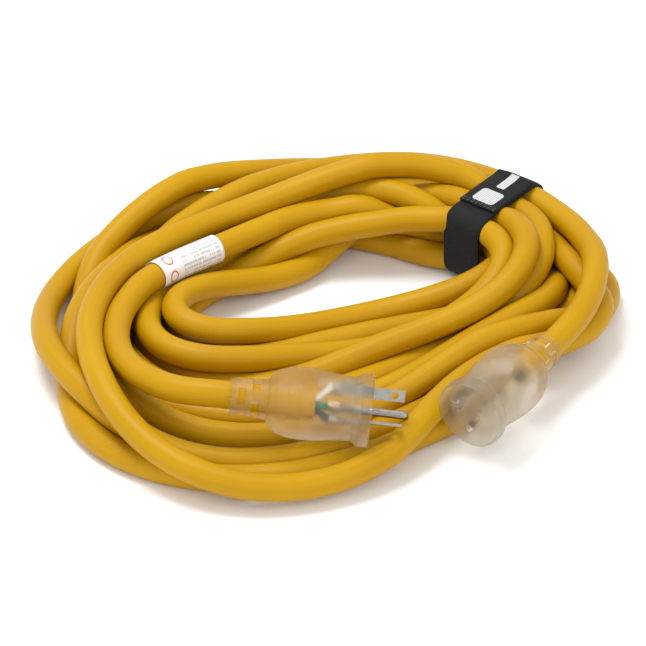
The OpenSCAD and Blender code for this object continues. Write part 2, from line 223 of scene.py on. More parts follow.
PLUG_ROUTE: tuple[Point, ...] = (
    (8, 92, 24), (-16, 78, 29), (-38, 61, 33), (-60, 44, 33.5), (-81, 27, 33.5),
    (-99, 9, 33.5), (-111, -11, 33.5), (-117, -35, 33.5), (-114, -61, 34.5),
    (-103, -84, 37), (-85, -101, 40),
)
CONNECTOR_ROUTE: tuple[Point, ...] = (
    (140, 74, 33), (152, 46, 33), (156, 14, 33), (149, -18, 32),
)
TURNS: tuple[Turn, ...] = (
    Turn(
        "middle_front",
        (-7.6, LAYER_LOW),
        (
            (145, 35, 18), (102, -2, 14), (52, -42, 18), (-6, -80, 10), (-76, -82, 8),
            (-124, -40, 8), (-130, 30, 10), (-92, 84, 20), (-40, 130, 20),
            (20, 166, 16), (84, 158, 14),
        ),
    ),
    Turn(
        "low_outer",
        (22.8, LAYER_LOW),
        (
            (150, 44, 9), (132, -28, 8), (78, -82, 8), (14, -128, 8), (-60, -148, 8),
            (-124, -112, 8), (-138, -36, 8), (-124, 28, 9), (-92, 84, 8),
            (-30, 132, 8), (46, 142, 10),
        ),
    ),
    Turn(
        "high_outer",
        (15.2, LAYER_MID),
        (
            (156, 42, 24), (146, -18, 21), (88, -62, 19), (40, -124, 17),
            (-24, -156, 17), (-90, -138, 24), (-126, -78, 36), (-130, -8, 37),
            (-92, 58, 37), (-32, 88, 33), (40, 84, 40),
        ),
    ),
    Turn(
        "under_middle",
        (7.6, LAYER_HIGH),
        (
            (136, 42, 36), (100, 12, 9), (56, -18, 8), (10, -56, 8), (-44, -74, 8),
            (-94, -56, 8), (-120, -8, 20), (-110, 48, 10), (-68, 88, 9),
            (-12, 104, 10), (32, 94, 18),
        ),
    ),
    Turn(
        "inner_hairpin",
        (-15.2, LAYER_MID),
        (
            (72, 38, 22), (38, 30, 10), (-4, 10, 8), (-44, -18, 17), (-74, -22, 21),
            (-92, -4, 22), (-84, 18, 22), (-50, 42, 23), (-8, 64, 25), (22, 92, 20),
            (58, 102, 23),
        ),
        bend=((-20, 26, 24), (-36, 33, 24), (-47, 20, 24)),
    ),
    Turn(
        "inner_front",
        (-7.6, LAYER_HIGH),
        (
            (124, 42, 42), (118, 18, 34), (94, 2, 24), (52, -20, 22), (10, -38, 11),
            (-34, -52, 8), (-86, -40, 8), (-114, 0, 8), (-94, 44, 8), (-60, 74, 8),
            (-14, 92, 8), (38, 98, 8),
        ),
    ),
    Turn(
        "inner_low",
        (-22.8, LAYER_LOW),
        (
            (108, 42, 9), (98, 22, 8), (62, 14, 8), (28, 4, 8),
            (-2, -8, 8), (-34, -26, 8), (-70, -16, 8), (-80, 18, 8), (-54, 54, 10),
            (-20, 68, 20), (14, 76, 28), (50, 76, 34),
        ),
    ),
    Turn(
        "second_hairpin",
        (-22.8, LAYER_HIGH),
        (
            (114, 44, 33), (114, 26, 28), (98, 14, 20), (70, 8, 14), (34, -12, 13),
            (-6, -36, 16), (-48, -52, 23), (-96, -32, 23), (-100, 14, 19), (-66, 56, 20),
            (-26, 84, 14), (22, 98, 8), (62, 104, 9),
        ),
    ),
    Turn(
        "left_loop",
        (0.0, LAYER_MID),
        (
            (128, 26, 8), (100, -36, 8), (48, -84, 8), (-14, -126, 8), (-84, -128, 8),
            (-130, -78, 20), (-152, -12, 20), (-152, 50, 8), (-92, 90, 8),
            (-28, 120, 8), (42, 124, 8),
        ),
    ),
    Turn(
        "high_back",
        (7.6, LAYER_LOW),
        (
            (152, 60, 8), (138, -4, 22), (78, -38, 16), (24, -84, 8), (-42, -112, 8),
            (-100, -88, 14), (-128, -26, 22), (-116, 34, 28), (-70, 90, 27),
            (-12, 138, 26), (52, 152, 31),
        ),
    ),
)
LAST_SLOT = (22.8, LAYER_HIGH)


@dataclass(frozen=True)
class Guide:
    """A point that the chain is drawn towards.

    Args:
        at: The point, in millimetres.
        pull: Share of the way to it that the chain moves in one step.
    """

    at: np.ndarray
    pull: float


@dataclass
class RouteSolver:
    """Relaxes the cord's route as one chain.

    Args:
        cord: The cord's sizes.
        turns: The turns that the chain follows.
        steps: Number of relaxation steps.
        settle: Number of last steps in which the guides of the turns mostly let go.
        lead_pull: Pull of the guides of both leads.
        slot_pull: Pull of the guides inside the strap.
        bend_pull: Pull of the guides of a bend beside the strap.
        turn_pull: Pull of the guides of the turns.
        sag: Fall of the chain in one step, in millimetres.
        settle_sag: The same, in the last steps.
        guides: Every guide, in the order in which the cord passes it.
    """

    cord: Cord
    turns: Sequence[Turn]
    steps: int = 640
    quick_steps: int = 60
    settle: int = 150
    lead_pull: float = 0.7
    slot_pull: float = 0.6
    bend_pull: float = 0.4
    turn_pull: float = 0.06
    sag: float = 0.12
    settle_sag: float = 0.02
    guides: list[Guide] = field(default_factory=list)

    def _add_slot(self, slot: tuple[float, float]) -> None:
        """Adds the guides that hold the chain in one place inside the strap.

        Args:
            slot: The place, as (across, height).
        """
        for along in (-11.0, 0.0, 11.0):
            at = STRAP.point(slot[0], along, slot[1])
            self.guides.append(Guide(at, self.slot_pull))

    def _gather(self) -> None:
        """Lists every guide in the order in which the cord passes it."""
        plug_lead = [PLUG.along(STUB), PLUG.along(0.0), *reversed(PLUG_ROUTE)]
        self.guides = [Guide(np.array(p, float), self.lead_pull) for p in plug_lead]
        for turn in self.turns:
            LOG.debug("turn %s: %d guide points", turn.name, len(turn.points))
            self._add_slot(turn.slot)
            for across, along, height in turn.bend:
                at = STRAP.point(across, along, height)
                self.guides.append(Guide(at, self.bend_pull))
            for p in turn.points:
                self.guides.append(Guide(np.array(p, float), self.turn_pull))
        self._add_slot(LAST_SLOT)
        connector_lead = [*CONNECTOR_ROUTE, CONNECTOR.along(0.0), CONNECTOR.along(STUB)]
        for p in connector_lead:
            self.guides.append(Guide(np.array(p, float), self.lead_pull))

    def _first_chain(self) -> tuple[np.ndarray, np.ndarray]:
        """Runs a smooth line through the guides.

        Returns:
            The chain's points and, for each guide, the index of the nearest one.
        """
        points = np.array([g.at for g in self.guides])
        line, order = smooth_run(points, 8)
        reach = run_lengths(line)
        count = int(reach[-1] / self.cord.spacing) + 1
        even = np.linspace(0, reach[-1], count)
        chain = np.stack([np.interp(even, reach, line[:, k]) for k in range(3)], 1)
        place = np.interp(even, reach, order)
        anchors = np.array(
            [int(np.argmin(abs(place - k))) for k in range(len(self.guides))]
        )
        return chain, anchors

    def _pull(self, x: np.ndarray, anchors: np.ndarray, share: float) -> np.ndarray:
        """Moves the chain towards its guides.

        Args:
            x: The chain's points.
            anchors: The chain's point for each guide.
            share: How much of each guide's pull is used.

        Returns:
            The moved points.
        """
        target = np.array([g.at for g in self.guides])
        pull = np.array([g.pull for g in self.guides])[:, None]
        move = (target - x[anchors]) * pull * share
        total = np.zeros_like(x)
        count = np.zeros(len(x))
        for offset, weight in (
            (-3, 0.25), (-2, 0.5), (-1, 0.8), (0, 1.0), (1, 0.8), (2, 0.5), (3, 0.25)
        ):
            k = np.clip(anchors + offset, 0, len(x) - 1)
            np.add.at(total, k, move * weight)
            np.add.at(count, k, weight)
        return x + total / np.maximum(count, 1)[:, None] * 0.5

    @staticmethod
    def _bow(x: np.ndarray, reach: int) -> np.ndarray:
        """Measures how far each point is off a cubic through four points around it.

        Args:
            x: The chain's points.
            reach: How many points away the outer two are. The inner two are half as far.

        Returns:
            The move that puts each point on its cubic.
        """
        near = reach // 2
        far, n = reach + near, len(x)
        outer = (x[: n - 2 * reach] + x[2 * reach :]) * (-1 / 6)
        inner = (x[near : n - far] + x[far : n - near]) * (4 / 6)
        bow = np.zeros_like(x)
        bow[reach:-reach] = outer + inner - x[reach:-reach]
        return bow

    def _stiffen(self, x: np.ndarray) -> np.ndarray:
        """Smooths the chain, almost without shrinking it.

        Args:
            x: The chain's points.

        Returns:
            The smoothed points.
        """
        for share in (0.5, -0.47):
            bend = np.zeros_like(x)
            bend[1:-1] = (x[:-2] + x[2:]) / 2 - x[1:-1]
            x = x + share * bend
        x = x + 0.3 * self._bow(x, 4)
        return x + 0.2 * self._bow(x, 8)

    @staticmethod
    def _keep_length(x: np.ndarray, step: float) -> None:
        """Restores the distance between neighbours, in place.

        Args:
            x: The chain's points.
            step: The distance that neighbours keep.
        """
        for _ in range(6):
            for parity in (0, 1):
                a = np.arange(parity, len(x) - 1, 2)
                gap = x[a + 1] - x[a]
                size = np.linalg.norm(gap, axis=1)
                move = (0.5 * (size - step) / np.maximum(size, 1e-6))[:, None] * gap
                x[a] += move
                x[a + 1] -= move

    @staticmethod
    def _limit_bends(x: np.ndarray) -> None:
        """Opens bends that are tighter than the cord takes, in place.

        Args:
            x: The chain's points.
        """
        for reach, least in ((2, 22.4), (4, 35.0), (6, 37.0)):
            gap = x[2 * reach :] - x[: -2 * reach]
            size = np.linalg.norm(gap, axis=1)
            short = np.maximum(least - size, 0.0) / np.maximum(size, 1e-6)
            move = 0.12 * short[:, None] * gap
            x[2 * reach :] += move
            x[: -2 * reach] -= move

    @staticmethod
    def _clear_of(x: np.ndarray, a: np.ndarray, b: np.ndarray, r: float) -> np.ndarray:
        """Finds how far points have to move to leave a capsule.

        Args:
            x: The points.
            a: One end of the capsule's axis.
            b: The other end.
            r: The capsule's radius.

        Returns:
            The move of each point.
        """
        axis = b - a
        t = np.clip(((x - a) @ axis) / (axis @ axis), 0, 1)
        away = x - (a + t[:, None] * axis)
        size = np.linalg.norm(away, axis=1)
        inside = (size < r) & (size > 1e-6)
        move = np.zeros_like(x)
        move[inside] = away[inside] * ((r - size[inside]) / size[inside])[:, None]
        return move

    def _obstacles(self, x: np.ndarray) -> None:
        """Keeps the chain above the floor, off the ends and inside the strap, in place.

        Args:
            x: The chain's points.
        """
        r = self.cord.radius
        x[:, 2] = np.maximum(x[:, 2], r)
        # Each end's own lead, this many points long, is not pushed by that end.
        lead, bulge = 33, 20.0
        for place, part in ((PLUG, slice(lead, None)), (CONNECTOR, slice(None, -lead))):
            a, b = place.along(34.0), place.along(84.0)
            x[part] += 0.5 * self._clear_of(x[part], a, b, bulge + r)
        offset = x - np.array([STRAP.at[0], STRAP.at[1], 0.0])
        along, across = offset @ STRAP.along, offset @ STRAP.across
        wall, clear, below = -30, -41, 50
        beside = (abs(along) < STRAP.width / 2 + r) & (across > clear - 1) & (across < wall)
        beside &= x[:, 2] < below
        x[beside] += ((clear - across[beside]) * 0.5)[:, None] * STRAP.across
        held = (abs(along) < 14) & (across > wall) & (across < 60)
        reach = STRAP.inner_w / 2 - r
        inside = np.clip(across[held], -reach, reach)
        x[held] += ((inside - across[held]) * 0.5)[:, None] * STRAP.across
        top = STRAP.thickness + STRAP.inner_h - r + 0.6
        x[held, 2] = np.clip(x[held, 2], LAYER_LOW - 0.2, top)

    def _reattach(self, x: np.ndarray, anchors: np.ndarray) -> None:
        """Lets each guide slide to the nearest point of the chain, in place.

        Args:
            x: The chain's points.
            anchors: The chain's point for each guide.
        """
        for k, guide in enumerate(self.guides):
            low, high = max(anchors[k] - 8, 0), min(anchors[k] + 9, len(x))
            anchors[k] = low + nearest(x[low:high], guide.at)

    def _pin(self, x: np.ndarray, step: float) -> None:
        """Holds both tips of the chain on the axes of the moulded ends, in place.

        Args:
            x: The chain's points.
            step: The distance between neighbours.
        """
        for k in range(3):
            x[k] = PLUG.along(STUB - k * step)
            x[-1 - k] = CONNECTOR.along(STUB - k * step)

    def solve(self) -> np.ndarray:
        """Relaxes the whole route.

        Returns:
            The route's points in millimetres, from the plug to the connector.
        """
        self._gather()
        x, anchors = self._first_chain()
        step = self.cord.length / (len(x) - 1)
        wanted = self.cord.diameter + 0.1
        steps = self.steps
        for number in range(steps):
            last = number >= steps - self.settle
            if number % 5 == 0:
                first, second = self._neighbours(x)
            x = self._pull(x, anchors, 0.2 if last else 1.0)
            x[:, 2] -= self.settle_sag if last else self.sag
            x = self._stiffen(x)
            self._keep_length(x, step)
            if number % 30 == 29:
                self._reattach(x, anchors)
            self._limit_bends(x)
            for _ in range(8 if last else 4):
                gap = x[first] - x[second]
                size = np.linalg.norm(gap, axis=1)
                close = size < wanted
                push = gap[close] * (0.2 * (wanted - size[close]) / size[close])[:, None]
                np.add.at(x, first[close], push)
                np.add.at(x, second[close], -push)
                self._obstacles(x)
            self._pin(x, step)
        first, second = self._neighbours(x)
        closest = np.linalg.norm(x[first] - x[second], axis=1).min()
        LOG.info("route: %.0f mm, closest strands %.1f mm apart", run_lengths(x)[-1], closest)
        return x

    @staticmethod
    def _neighbours(x: np.ndarray) -> tuple[np.ndarray, np.ndarray]:
        """Lists the pairs of points that could touch.

        Args:
            x: The chain's points.

        Returns:
            The indices of each pair's two points.
        """
        reach, next_along = 24.0, 7
        square = ((x[:, None, :] - x[None, :, :]) ** 2).sum(2)
        return np.where(np.triu(square < reach * reach, next_along))


def smooth_run(points: np.ndarray, steps: int) -> tuple[np.ndarray, np.ndarray]:
    """Runs a Catmull-Rom line through points.

    Args:
        points: The points, one row each.
        steps: Number of steps between two points.

    Returns:
        The line's points and the place of each among the given ones.
    """
    line, order = [], []
    last = len(points) - 1
    for i in range(last):
        a, b, c, d = points[max(i - 1, 0)], points[i], points[i + 1], points[min(i + 2, last)]
        for t in np.linspace(0, 1, steps, endpoint=False):
            cubic = (3 * b - a - 3 * c + d) * t**3
            line.append(0.5 * (2 * b + (c - a) * t + (2 * a - 5 * b + 4 * c - d) * t * t + cubic))
            order.append(i + t)
    line.append(points[last])
    order.append(last)
    return np.array(line), np.array(order)


def nearest(points: np.ndarray, place: np.ndarray) -> int:
    """Finds the point that is nearest to a place.

    Args:
        points: The points, one row each.
        place: The place.

    Returns:
        The point's index.
    """
    return int(np.linalg.norm(points - place, axis=1).argmin())


def run_lengths(points: np.ndarray) -> np.ndarray:
    """Measures a run of points.

    Args:
        points: The points, one row each.

    Returns:
        The length from the first point to each.
    """
    return np.concatenate([[0], np.cumsum(np.linalg.norm(np.diff(points, axis=0), axis=1))])


def resample(points: np.ndarray, spacing: float) -> np.ndarray:
    """Places points evenly on a smooth line through a run of points.

    Args:
        points: The run's points.
        spacing: Distance between the new points, rounded to fit the run.

    Returns:
        The new points, with the run's own ends.
    """
    line, _ = smooth_run(points, 4)
    reach = run_lengths(line)
    even = np.linspace(0, reach[-1], max(int(round(reach[-1] / spacing)), 2) + 1)
    return np.stack([np.interp(even, reach, line[:, k]) for k in range(3)], 1)


# ------------------------------------------------------------------------ shader building


class Space(Enum):
    """Where a finish takes its place on the surface from."""

    OBJECT = "object"
    CORD = "cord"
    UV = "uv"


class Expr:
    """A number inside a material, which Python's operators combine."""

    def __init__(self, graph: "Graph", socket: bpy.types.NodeSocket) -> None:
        """Wraps a socket.

        Args:
            graph: The material's graph.
            socket: The output socket that gives the number.
        """
        self.graph = graph
        self.socket = socket

    def _math(self, operation: str, *others: Union["Expr", float]) -> "Expr":
        """Adds one Math node.

        Args:
            operation: The node's operation.
            *others: The other operands.

        Returns:
            The result.
        """
        inputs = {0: self, **{k + 1: o for k, o in enumerate(others)}}
        node = self.graph.node("ShaderNodeMath", {"operation": operation}, inputs)
        return Expr(self.graph, node.outputs[0])

    def _swapped(self, operation: str, other: float) -> "Expr":
        """Adds one Math node with this number second.

        Args:
            operation: The node's operation.
            other: The first operand.

        Returns:
            The result.
        """
        node = self.graph.node("ShaderNodeMath", {"operation": operation}, {0: other, 1: self})
        return Expr(self.graph, node.outputs[0])

    def __add__(self, other: Union["Expr", float]) -> "Expr":
        """Returns: The sum."""
        return self._math("ADD", other)

    def __radd__(self, other: float) -> "Expr":
        """Returns: The sum."""
        return self._math("ADD", other)

    def __sub__(self, other: Union["Expr", float]) -> "Expr":
        """Returns: The difference."""
        return self._math("SUBTRACT", other)

    def __rsub__(self, other: float) -> "Expr":
        """Returns: The difference, the other way round."""
        return self._swapped("SUBTRACT", other)

    def __mul__(self, other: Union["Expr", float]) -> "Expr":
        """Returns: The product."""
        return self._math("MULTIPLY", other)

    def __rmul__(self, other: float) -> "Expr":
        """Returns: The product."""
        return self._math("MULTIPLY", other)

    def __truediv__(self, other: Union["Expr", float]) -> "Expr":
        """Returns: The quotient."""
        return self._math("DIVIDE", other)

    def __rtruediv__(self, other: float) -> "Expr":
        """Returns: The quotient, the other way round."""
        return self._swapped("DIVIDE", other)

    def __pow__(self, other: float) -> "Expr":
        """Returns: The power."""
        return self._math("POWER", other)

    def __abs__(self) -> "Expr":
        """Returns: The size without its sign."""
        return self._math("ABSOLUTE")

    def __lt__(self, other: Union["Expr", float]) -> "Expr":
        """Returns: One where this is smaller, else zero."""
        return self._math("LESS_THAN", other)

    def __gt__(self, other: Union["Expr", float]) -> "Expr":
        """Returns: One where this is larger, else zero."""
        return self._math("GREATER_THAN", other)

    def fraction(self) -> "Expr":
        """Returns: The part after the decimal point."""
        return self._math("FRACT")

    def floor(self) -> "Expr":
        """Returns: The whole part."""
        return self._math("FLOOR")

    def sine(self) -> "Expr":
        """Returns: The sine."""
        return self._math("SINE")

    def smaller(self, other: Union["Expr", float]) -> "Expr":
        """Returns: The smaller of the two."""
        return self._math("MINIMUM", other)

    def larger(self, other: Union["Expr", float]) -> "Expr":
        """Returns: The larger of the two."""
        return self._math("MAXIMUM", other)

    def ramp(self, low: float, high: float) -> "Expr":
        """Maps a range to zero to one, held at both ends.

        Args:
            low: What becomes zero.
            high: What becomes one.

        Returns:
            The mapped number.
        """
        return ((self - low) / (high - low)).larger(0.0).smaller(1.0)


class Graph:
    """Builds one material's nodes."""

    def __init__(self, name: str) -> None:
        """Starts an empty material.

        Args:
            name: The material's name.
        """
        self.material = bpy.data.materials.new(name)
        self.material.use_nodes = True
        self.tree = self.material.node_tree
        self.tree.nodes.clear()

    def node(
        self,
        kind: str,
        settings: Optional[dict[str, object]] = None,
        inputs: Optional[dict[Union[str, int], object]] = None,
    ) -> bpy.types.Node:
        """Adds a node.

        Args:
            kind: The node's type.
            settings: Attributes to set on it.
            inputs: Values or sockets for its inputs, by name or number.

        Returns:
            The node.
        """
        made = self.tree.nodes.new(kind)
        for key, value in (settings or {}).items():
            setattr(made, key, value)
        for key, value in (inputs or {}).items():
            if isinstance(value, Expr):
                self.tree.links.new(value.socket, made.inputs[key])
            elif isinstance(value, bpy.types.NodeSocket):
                self.tree.links.new(value, made.inputs[key])
            else:
                made.inputs[key].default_value = value
        return made

    def place(self, space: Space) -> bpy.types.NodeSocket:
        """Gives the place on the surface.

        Args:
            space: Where the place comes from.

        Returns:
            The vector's socket.
        """
        if space is Space.CORD:
            made = self.node("ShaderNodeAttribute", {"attribute_name": CORD_PLACE})
            return made.outputs["Vector"]
        if space is Space.UV:
            return self.node("ShaderNodeUVMap", {"uv_map": UV_LAYER}).outputs["UV"]
        return self.node("ShaderNodeTexCoord").outputs["Object"]

    def split(self, vector: bpy.types.NodeSocket) -> tuple[Expr, Expr, Expr]:
        """Splits a vector.

        Args:
            vector: The vector's socket.

        Returns:
            Its three numbers.
        """
        x, y, z = self.node("ShaderNodeSeparateXYZ", None, {0: vector}).outputs
        return Expr(self, x), Expr(self, y), Expr(self, z)

    def scaled(self, vector: bpy.types.NodeSocket, scale: Point) -> bpy.types.NodeSocket:
        """Multiplies a vector by another.

        Args:
            vector: The vector's socket.
            scale: What it is multiplied by.

        Returns:
            The product's socket.
        """
        made = self.node("ShaderNodeVectorMath", {"operation": "MULTIPLY"}, {0: vector, 1: scale})
        return made.outputs[0]

    def noise(self, vector: bpy.types.NodeSocket, scale: float, detail: float = 3.0) -> Expr:
        """Adds smooth noise.

        Args:
            vector: The place on the surface.
            scale: How many features there are in a metre.
            detail: How much finer structure it has.

        Returns:
            The noise, about one half on average.
        """
        made = self.node(
            "ShaderNodeTexNoise", None, {"Vector": vector, "Scale": scale, "Detail": detail}
        )
        return Expr(self, made.outputs["Fac"])

    @staticmethod
    def _with_alpha(colour: Union[Colour, bpy.types.NodeSocket]) -> object:
        """Returns: A plain colour with a full alpha, or the socket as it is."""
        return (*colour, 1.0) if isinstance(colour, tuple) else colour

    def mix(
        self,
        share: Expr,
        a: Union[Colour, bpy.types.NodeSocket],
        b: Union[Colour, bpy.types.NodeSocket],
    ) -> bpy.types.NodeSocket:
        """Mixes two colours.

        Args:
            share: How much of the second there is.
            a: The first colour, or its socket.
            b: The second colour, or its socket.

        Returns:
            The mixed colour's socket.
        """
        ends = {0: share, 6: self._with_alpha(a), 7: self._with_alpha(b)}
        return self.node("ShaderNodeMix", {"data_type": "RGBA"}, ends).outputs[2]

    def bump(self, height: Expr, distance: float, strength: float = 1.0) -> bpy.types.NodeSocket:
        """Turns a height into a normal.

        Args:
            height: The height, from zero to one.
            distance: Metres between the lowest and the highest.
            strength: How strongly it shows.

        Returns:
            The normal's socket.
        """
        made = self.node(
            "ShaderNodeBump", None,
            {"Height": height, "Distance": distance, "Strength": strength},
        )
        return made.outputs["Normal"]

    def surface(self, inputs: dict[str, object]) -> bpy.types.Material:
        """Ends the graph with its shader.

        Args:
            inputs: Inputs of the Principled shader.

        Returns:
            The material.
        """
        shader = self.node("ShaderNodeBsdfPrincipled", None, inputs)
        self.node("ShaderNodeOutputMaterial", None, {"Surface": shader.outputs[0]})
        return self.material


@dataclass(frozen=True)
class JacketFinish:
    """Semi-matte cord jacket with faint drawing lines and a little handling dust.

    Args:
        light: The jacket's own colour.
        deep: Colour of its slightly deeper patches.
        dust: Colour of the dust on it.
        roughness: Mean roughness.
    """

    light: Colour = (0.51, 0.285, 0.0005)
    deep: Colour = (0.45, 0.228, 0.0004)
    dust: Colour = (0.5, 0.34, 0.04)
    roughness: float = 0.36

    def build(self, name: str, space: Space) -> bpy.types.Material:
        """Builds the material.

        Args:
            name: The material's name.
            space: Where the place on the surface comes from.

        Returns:
            The material.
        """
        g = Graph(name)
        place = g.place(space)
        lines = g.scaled(place, (1.0, 1.0, 0.02) if space is Space.CORD else (0.05, 1.0, 1.0))
        streak = g.noise(lines, 900.0, 2.0)
        patch = g.noise(place, 14.0, 4.0)
        grain = g.noise(place, 1500.0, 2.0)
        speck = g.noise(place, 160.0, 5.0).ramp(0.62, 0.8)
        colour = g.mix((patch * 0.8 + streak * 0.25).ramp(0.35, 0.75), self.deep, self.light)
        colour = g.mix(speck * 0.14, colour, self.dust)
        roughness = self.roughness + patch * 0.1 + speck * 0.12 + streak * 0.05
        height = streak * 0.5 + grain * 0.35 + patch * 0.6
        return g.surface(
            {
                "Base Color": colour,
                "Roughness": roughness,
                "Specular IOR Level": 0.17,
                "Normal": g.bump(height, 0.00012, 0.7),
            }
        )


@dataclass(frozen=True)
class ClearFinish:
    """Frosted clear moulding with a warm tint, partly see-through and partly refracting.

    Args:
        tint: Colour of the plastic.
        veil: Share of the light that meets each surface and does not pass straight on.
        roughness: Least roughness.
    """

    tint: Colour = (0.88, 0.83, 0.71)
    veil: float = 0.5
    roughness: float = 0.24

    def build(self, name: str, space: Space = Space.OBJECT) -> bpy.types.Material:
        """Builds the material.

        Args:
            name: The material's name.
            space: Where the place on the surface comes from.

        Returns:
            The material.
        """
        g = Graph(name)
        place = g.place(space)
        cloud = g.noise(place, 60.0, 4.0)
        grain = g.noise(place, 900.0, 2.0)
        paler = tuple(min(1.0, c * 1.08) for c in self.tint)
        return g.surface(
            {
                "Base Color": g.mix(cloud.ramp(0.3, 0.7), self.tint, paler),
                "Roughness": self.roughness + cloud * 0.12,
                "Alpha": self.veil + (cloud - 0.5) * 0.12 + grain * 0.03,
                "Transmission Weight": 0.93,
                "Specular IOR Level": 0.3,
                "IOR": 1.25,
                "Normal": g.bump(cloud * 0.8 + grain * 0.2, 0.0004, 0.5),
            }
        )


@dataclass(frozen=True)
class PlasticFinish:
    """Moulded plastic or wire insulation.

    Args:
        colour: The plastic's own colour.
        worn: Colour of its scuffed patches.
        roughness: Mean roughness.
        grain: Features of its fine texture in a metre.
    """

    colour: Colour
    worn: Colour
    roughness: float = 0.4
    grain: float = 1200.0

    def build(self, name: str, space: Space = Space.OBJECT) -> bpy.types.Material:
        """Builds the material.

        Args:
            name: The material's name.
            space: Where the place on the surface comes from.

        Returns:
            The material.
        """
        g = Graph(name)
        place = g.place(space)
        patch = g.noise(place, 120.0, 4.0)
        grain = g.noise(place, self.grain, 2.0)
        wear = (patch * 0.7 + grain * 0.3).ramp(0.4, 0.7)
        return g.surface(
            {
                "Base Color": g.mix(wear, self.colour, self.worn),
                "Roughness": self.roughness + patch * 0.12,
                "Normal": g.bump(grain, 0.00005, 0.6),
            }
        )


@dataclass(frozen=True)
class MetalFinish:
    """Drawn or stamped metal with fine lines.

    Args:
        colour: The metal's colour.
        dull: Colour of its dulled patches.
        roughness: Mean roughness.
        grain: Scale along each axis, small along the lines.
    """

    colour: Colour
    dull: Colour
    roughness: float = 0.26
    grain: Point = (0.04, 1.0, 1.0)

    def build(self, name: str, space: Space = Space.OBJECT) -> bpy.types.Material:
        """Builds the material.

        Args:
            name: The material's name.
            space: Where the place on the surface comes from.

        Returns:
            The material.
        """
        g = Graph(name)
        place = g.place(space)
        lines = g.noise(g.scaled(place, self.grain), 5200.0, 2.0)
        patch = g.noise(place, 260.0, 4.0)
        return g.surface(
            {
                "Base Color": g.mix(patch.ramp(0.4, 0.75), self.colour, self.dull),
                "Metallic": 1.0,
                "Roughness": self.roughness + lines * 0.12 + patch * 0.1,
                "Normal": g.bump(lines * 0.6 + patch * 0.4, 0.00003, 0.6),
            }
        )


@dataclass(frozen=True)
class PaperFinish:
    """Printed label: pale paper with plain grey bars and two plain rings.

    Args:
        paper: Colour of the paper.
        ink: Colour of the bars.
        mark: Colour of the rings.
    """

    paper: Colour = (0.84, 0.84, 0.83)
    ink: Colour = (0.33, 0.34, 0.35)
    mark: Colour = (0.55, 0.04, 0.035)

    def build(self, name: str, space: Space = Space.UV) -> bpy.types.Material:
        """Builds the material.

        Args:
            name: The material's name.
            space: Where the place on the surface comes from.

        Returns:
            The material.
        """
        g = Graph(name)
        place = g.place(space)
        u, v, _ = g.split(place)
        rows = ((v * 22.0).fraction() > 0.45) * (v > 0.06) * (v < 0.94)
        gaps = g.noise(g.scaled(place, (34.0, 0.0, 0.0)), 1.0, 0.0)
        ends = g.noise(g.scaled(place, (9.0, 22.0, 0.0)), 1.0, 0.0)
        lines = rows * (gaps + ends * 0.6 > 0.74) * (u > 0.34) * (u < 0.95)
        rings = self._ring(u, v, 0.42).larger(self._ring(u, v, 0.62))
        fibre = g.noise(g.scaled(place, (60.0, 60.0, 1.0)), 1.0, 4.0)
        shade = tuple(c * 0.9 for c in self.paper)
        colour = g.mix(fibre.ramp(0.35, 0.75), self.paper, shade)
        colour = g.mix(lines * 0.62, colour, self.ink)
        colour = g.mix(rings * 0.85, colour, self.mark)
        return g.surface(
            {
                "Base Color": colour,
                "Roughness": 0.34 + fibre * 0.14,
                "Normal": g.bump(fibre, 0.00006, 0.5),
            }
        )

    @staticmethod
    def _ring(u: Expr, v: Expr, centre: float) -> Expr:
        """Draws one plain ring.

        Args:
            u: Share of the way along the label.
            v: Share of the way round it.
            centre: The ring's place round the label.

        Returns:
            One on the ring, else zero.
        """
        across, up = u - 0.16, (v - centre) * 1.05
        far = (across * across + up * up) ** 0.5
        return abs(far - 0.062) < 0.010


